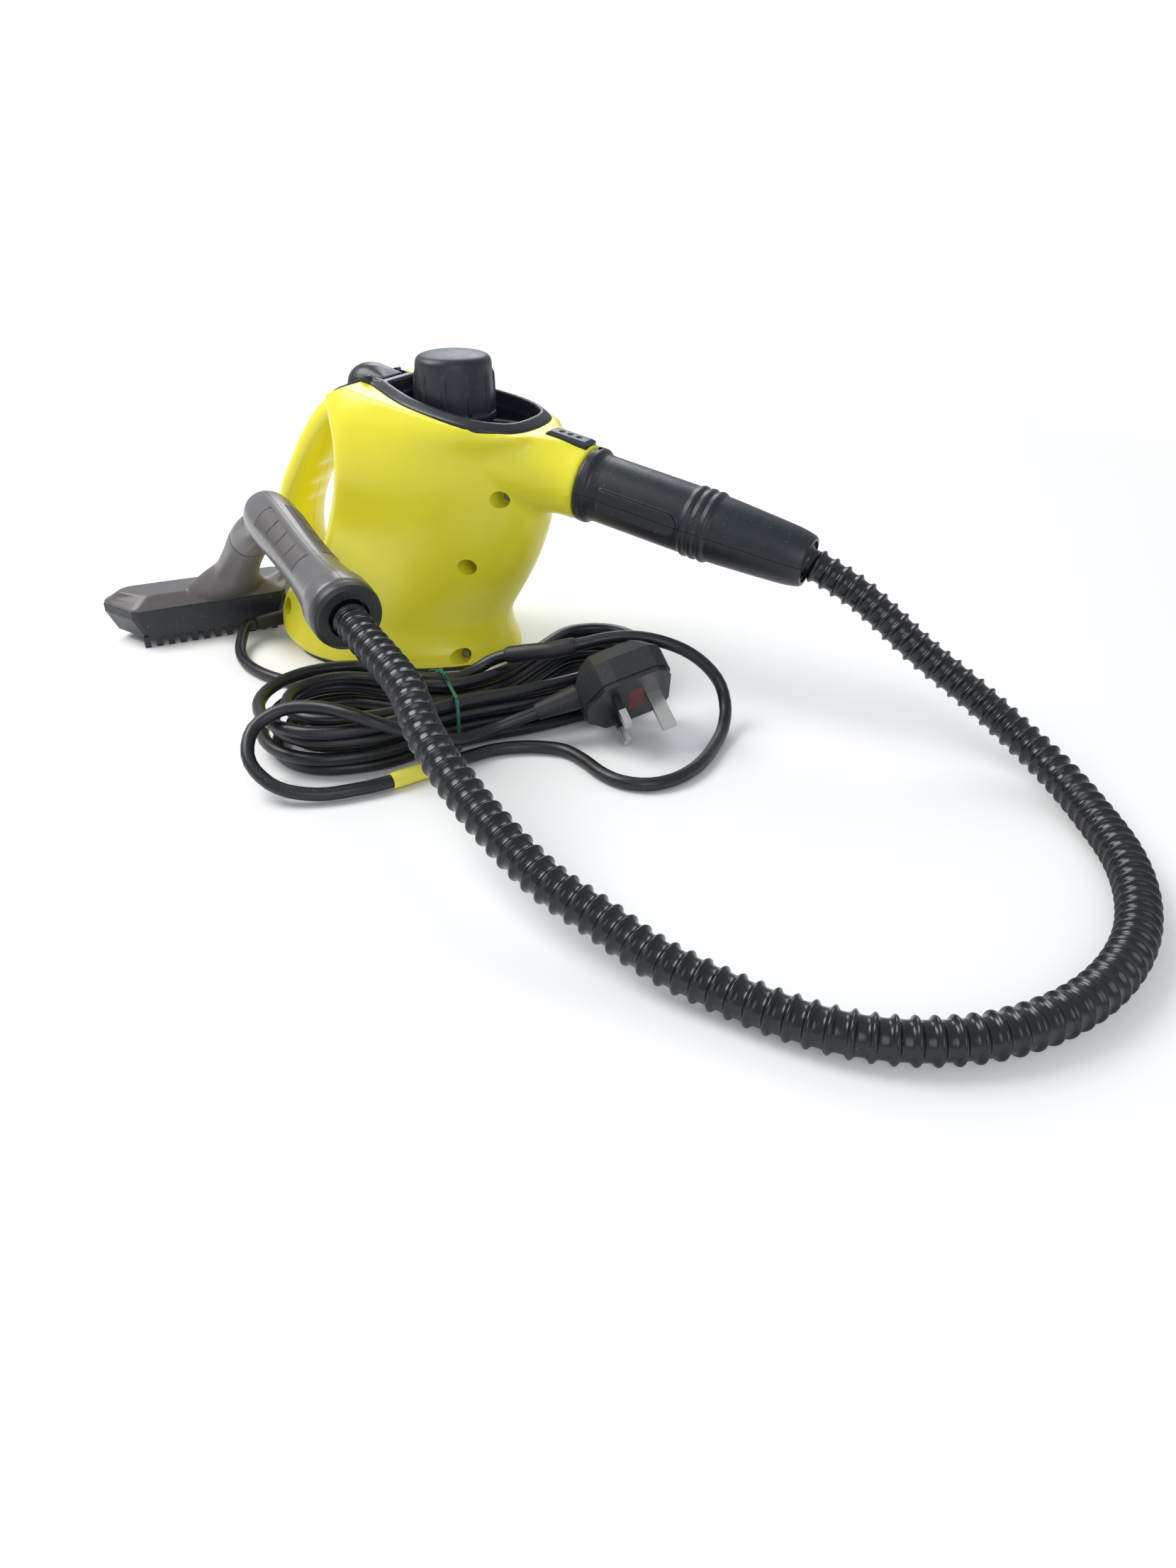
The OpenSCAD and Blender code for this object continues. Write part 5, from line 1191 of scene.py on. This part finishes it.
def head_shape(inset, ends, soft=3):
    """The outline of the head from above, drawn in and shortened, with rounded corners."""
    x = HEAD_DEPTH / 2 - inset
    y = HEAD_LEN / 2 - inset * 0.7 - ends
    tip = y + HEAD_SPLAY
    corners = [(2 - x, -y), (x - 9, -tip), (x - 3, 2 - tip), (x, 7 - tip), (x, tip - 7), (x - 3, tip - 2),
               (x - 9, tip), (2 - x, y), (-x, y - 3), (-x, 3 - y)]
    out = []
    n = len(corners)
    for i in range(n):
        a, b, c = (np.array(corners[(i + k) % n], float) for k in (-1, 0, 1))
        reach = min(soft, 0.4 * np.linalg.norm(b - a), 0.4 * np.linalg.norm(c - b))
        p, q = b + reach * unit(a - b), b + reach * unit(c - b)
        for t in (0, 0.25, 0.5, 0.75, 1):
            out.append((1 - t) ** 2 * p + 2 * t * (1 - t) * b + t * t * q)
    return [tuple(v) for v in out]


def head_solid():
    """The plate of the head with its neck run into it."""
    rings = [moved(AT_HEAD, [(x, y, z) for x, y in head_shape(inset, ends)]) for inset, ends, z in (
        (0.1, 0, SKIRT_TOP), (0.1, 0, SKIRT_TOP + 1.0), (0.5, 0.3, SKIRT_TOP + 1.7), (3.2, 2.5, HEAD_H - 4.0),
        (5.9, 4.5, HEAD_H - 0.9), (6.9, 5.3, HEAD_H - 0.1), (7.4, 5.7, HEAD_H))]
    ob = joined("head_cover_soft", [skin("head_plate", rings), neck_sweep("head_neck", 2, 6)])
    voxel(ob, 0.7, 5)
    soften_where(ob, lambda x, y, z: fade(abs(z - 35), 4, 12) * fade(math.dist((x, y), HEAD_FOOT), 30, 44),
                 25)
    cut(ob, box("below", (-120, -120, -20), (120, 120, SKIRT_TOP + 0.05), AT_HEAD))
    cut(ob, box("above", (-60, -60, -60), (60, 60, 0.15), NECK_CUT))
    cut(ob, box("window", (-14, -3.4, 11), (-8.6, 3.4, 21), NECK_CUT))
    return ob


dressed(head_solid(), ROOT, "grip_grey", "head_cover", angle=42, finish="head_grey")

# Crisp moulded and turned pieces keep their own form and get worked edges.
for width, names in (
        (0.2, "sole_plate pin_sleeves housing_screws"), (0.25, "plug_relief strain_relief"),
        (0.3, "grip_ring cord_clamp boiler_lower boiler_upper filler_neck cap_plug nozzle hose_bush "
              "hose_socket steam_valve terminal_block"),
        (0.4, "line_pins fuse_carrier base_plate child_lock"), (0.45, "head_skirt earth_pin"),
        (0.5, "plug_face"), (1.3, "plug_body")):
    for name in names.split():
        rounded(frame["nodes"][name], width)
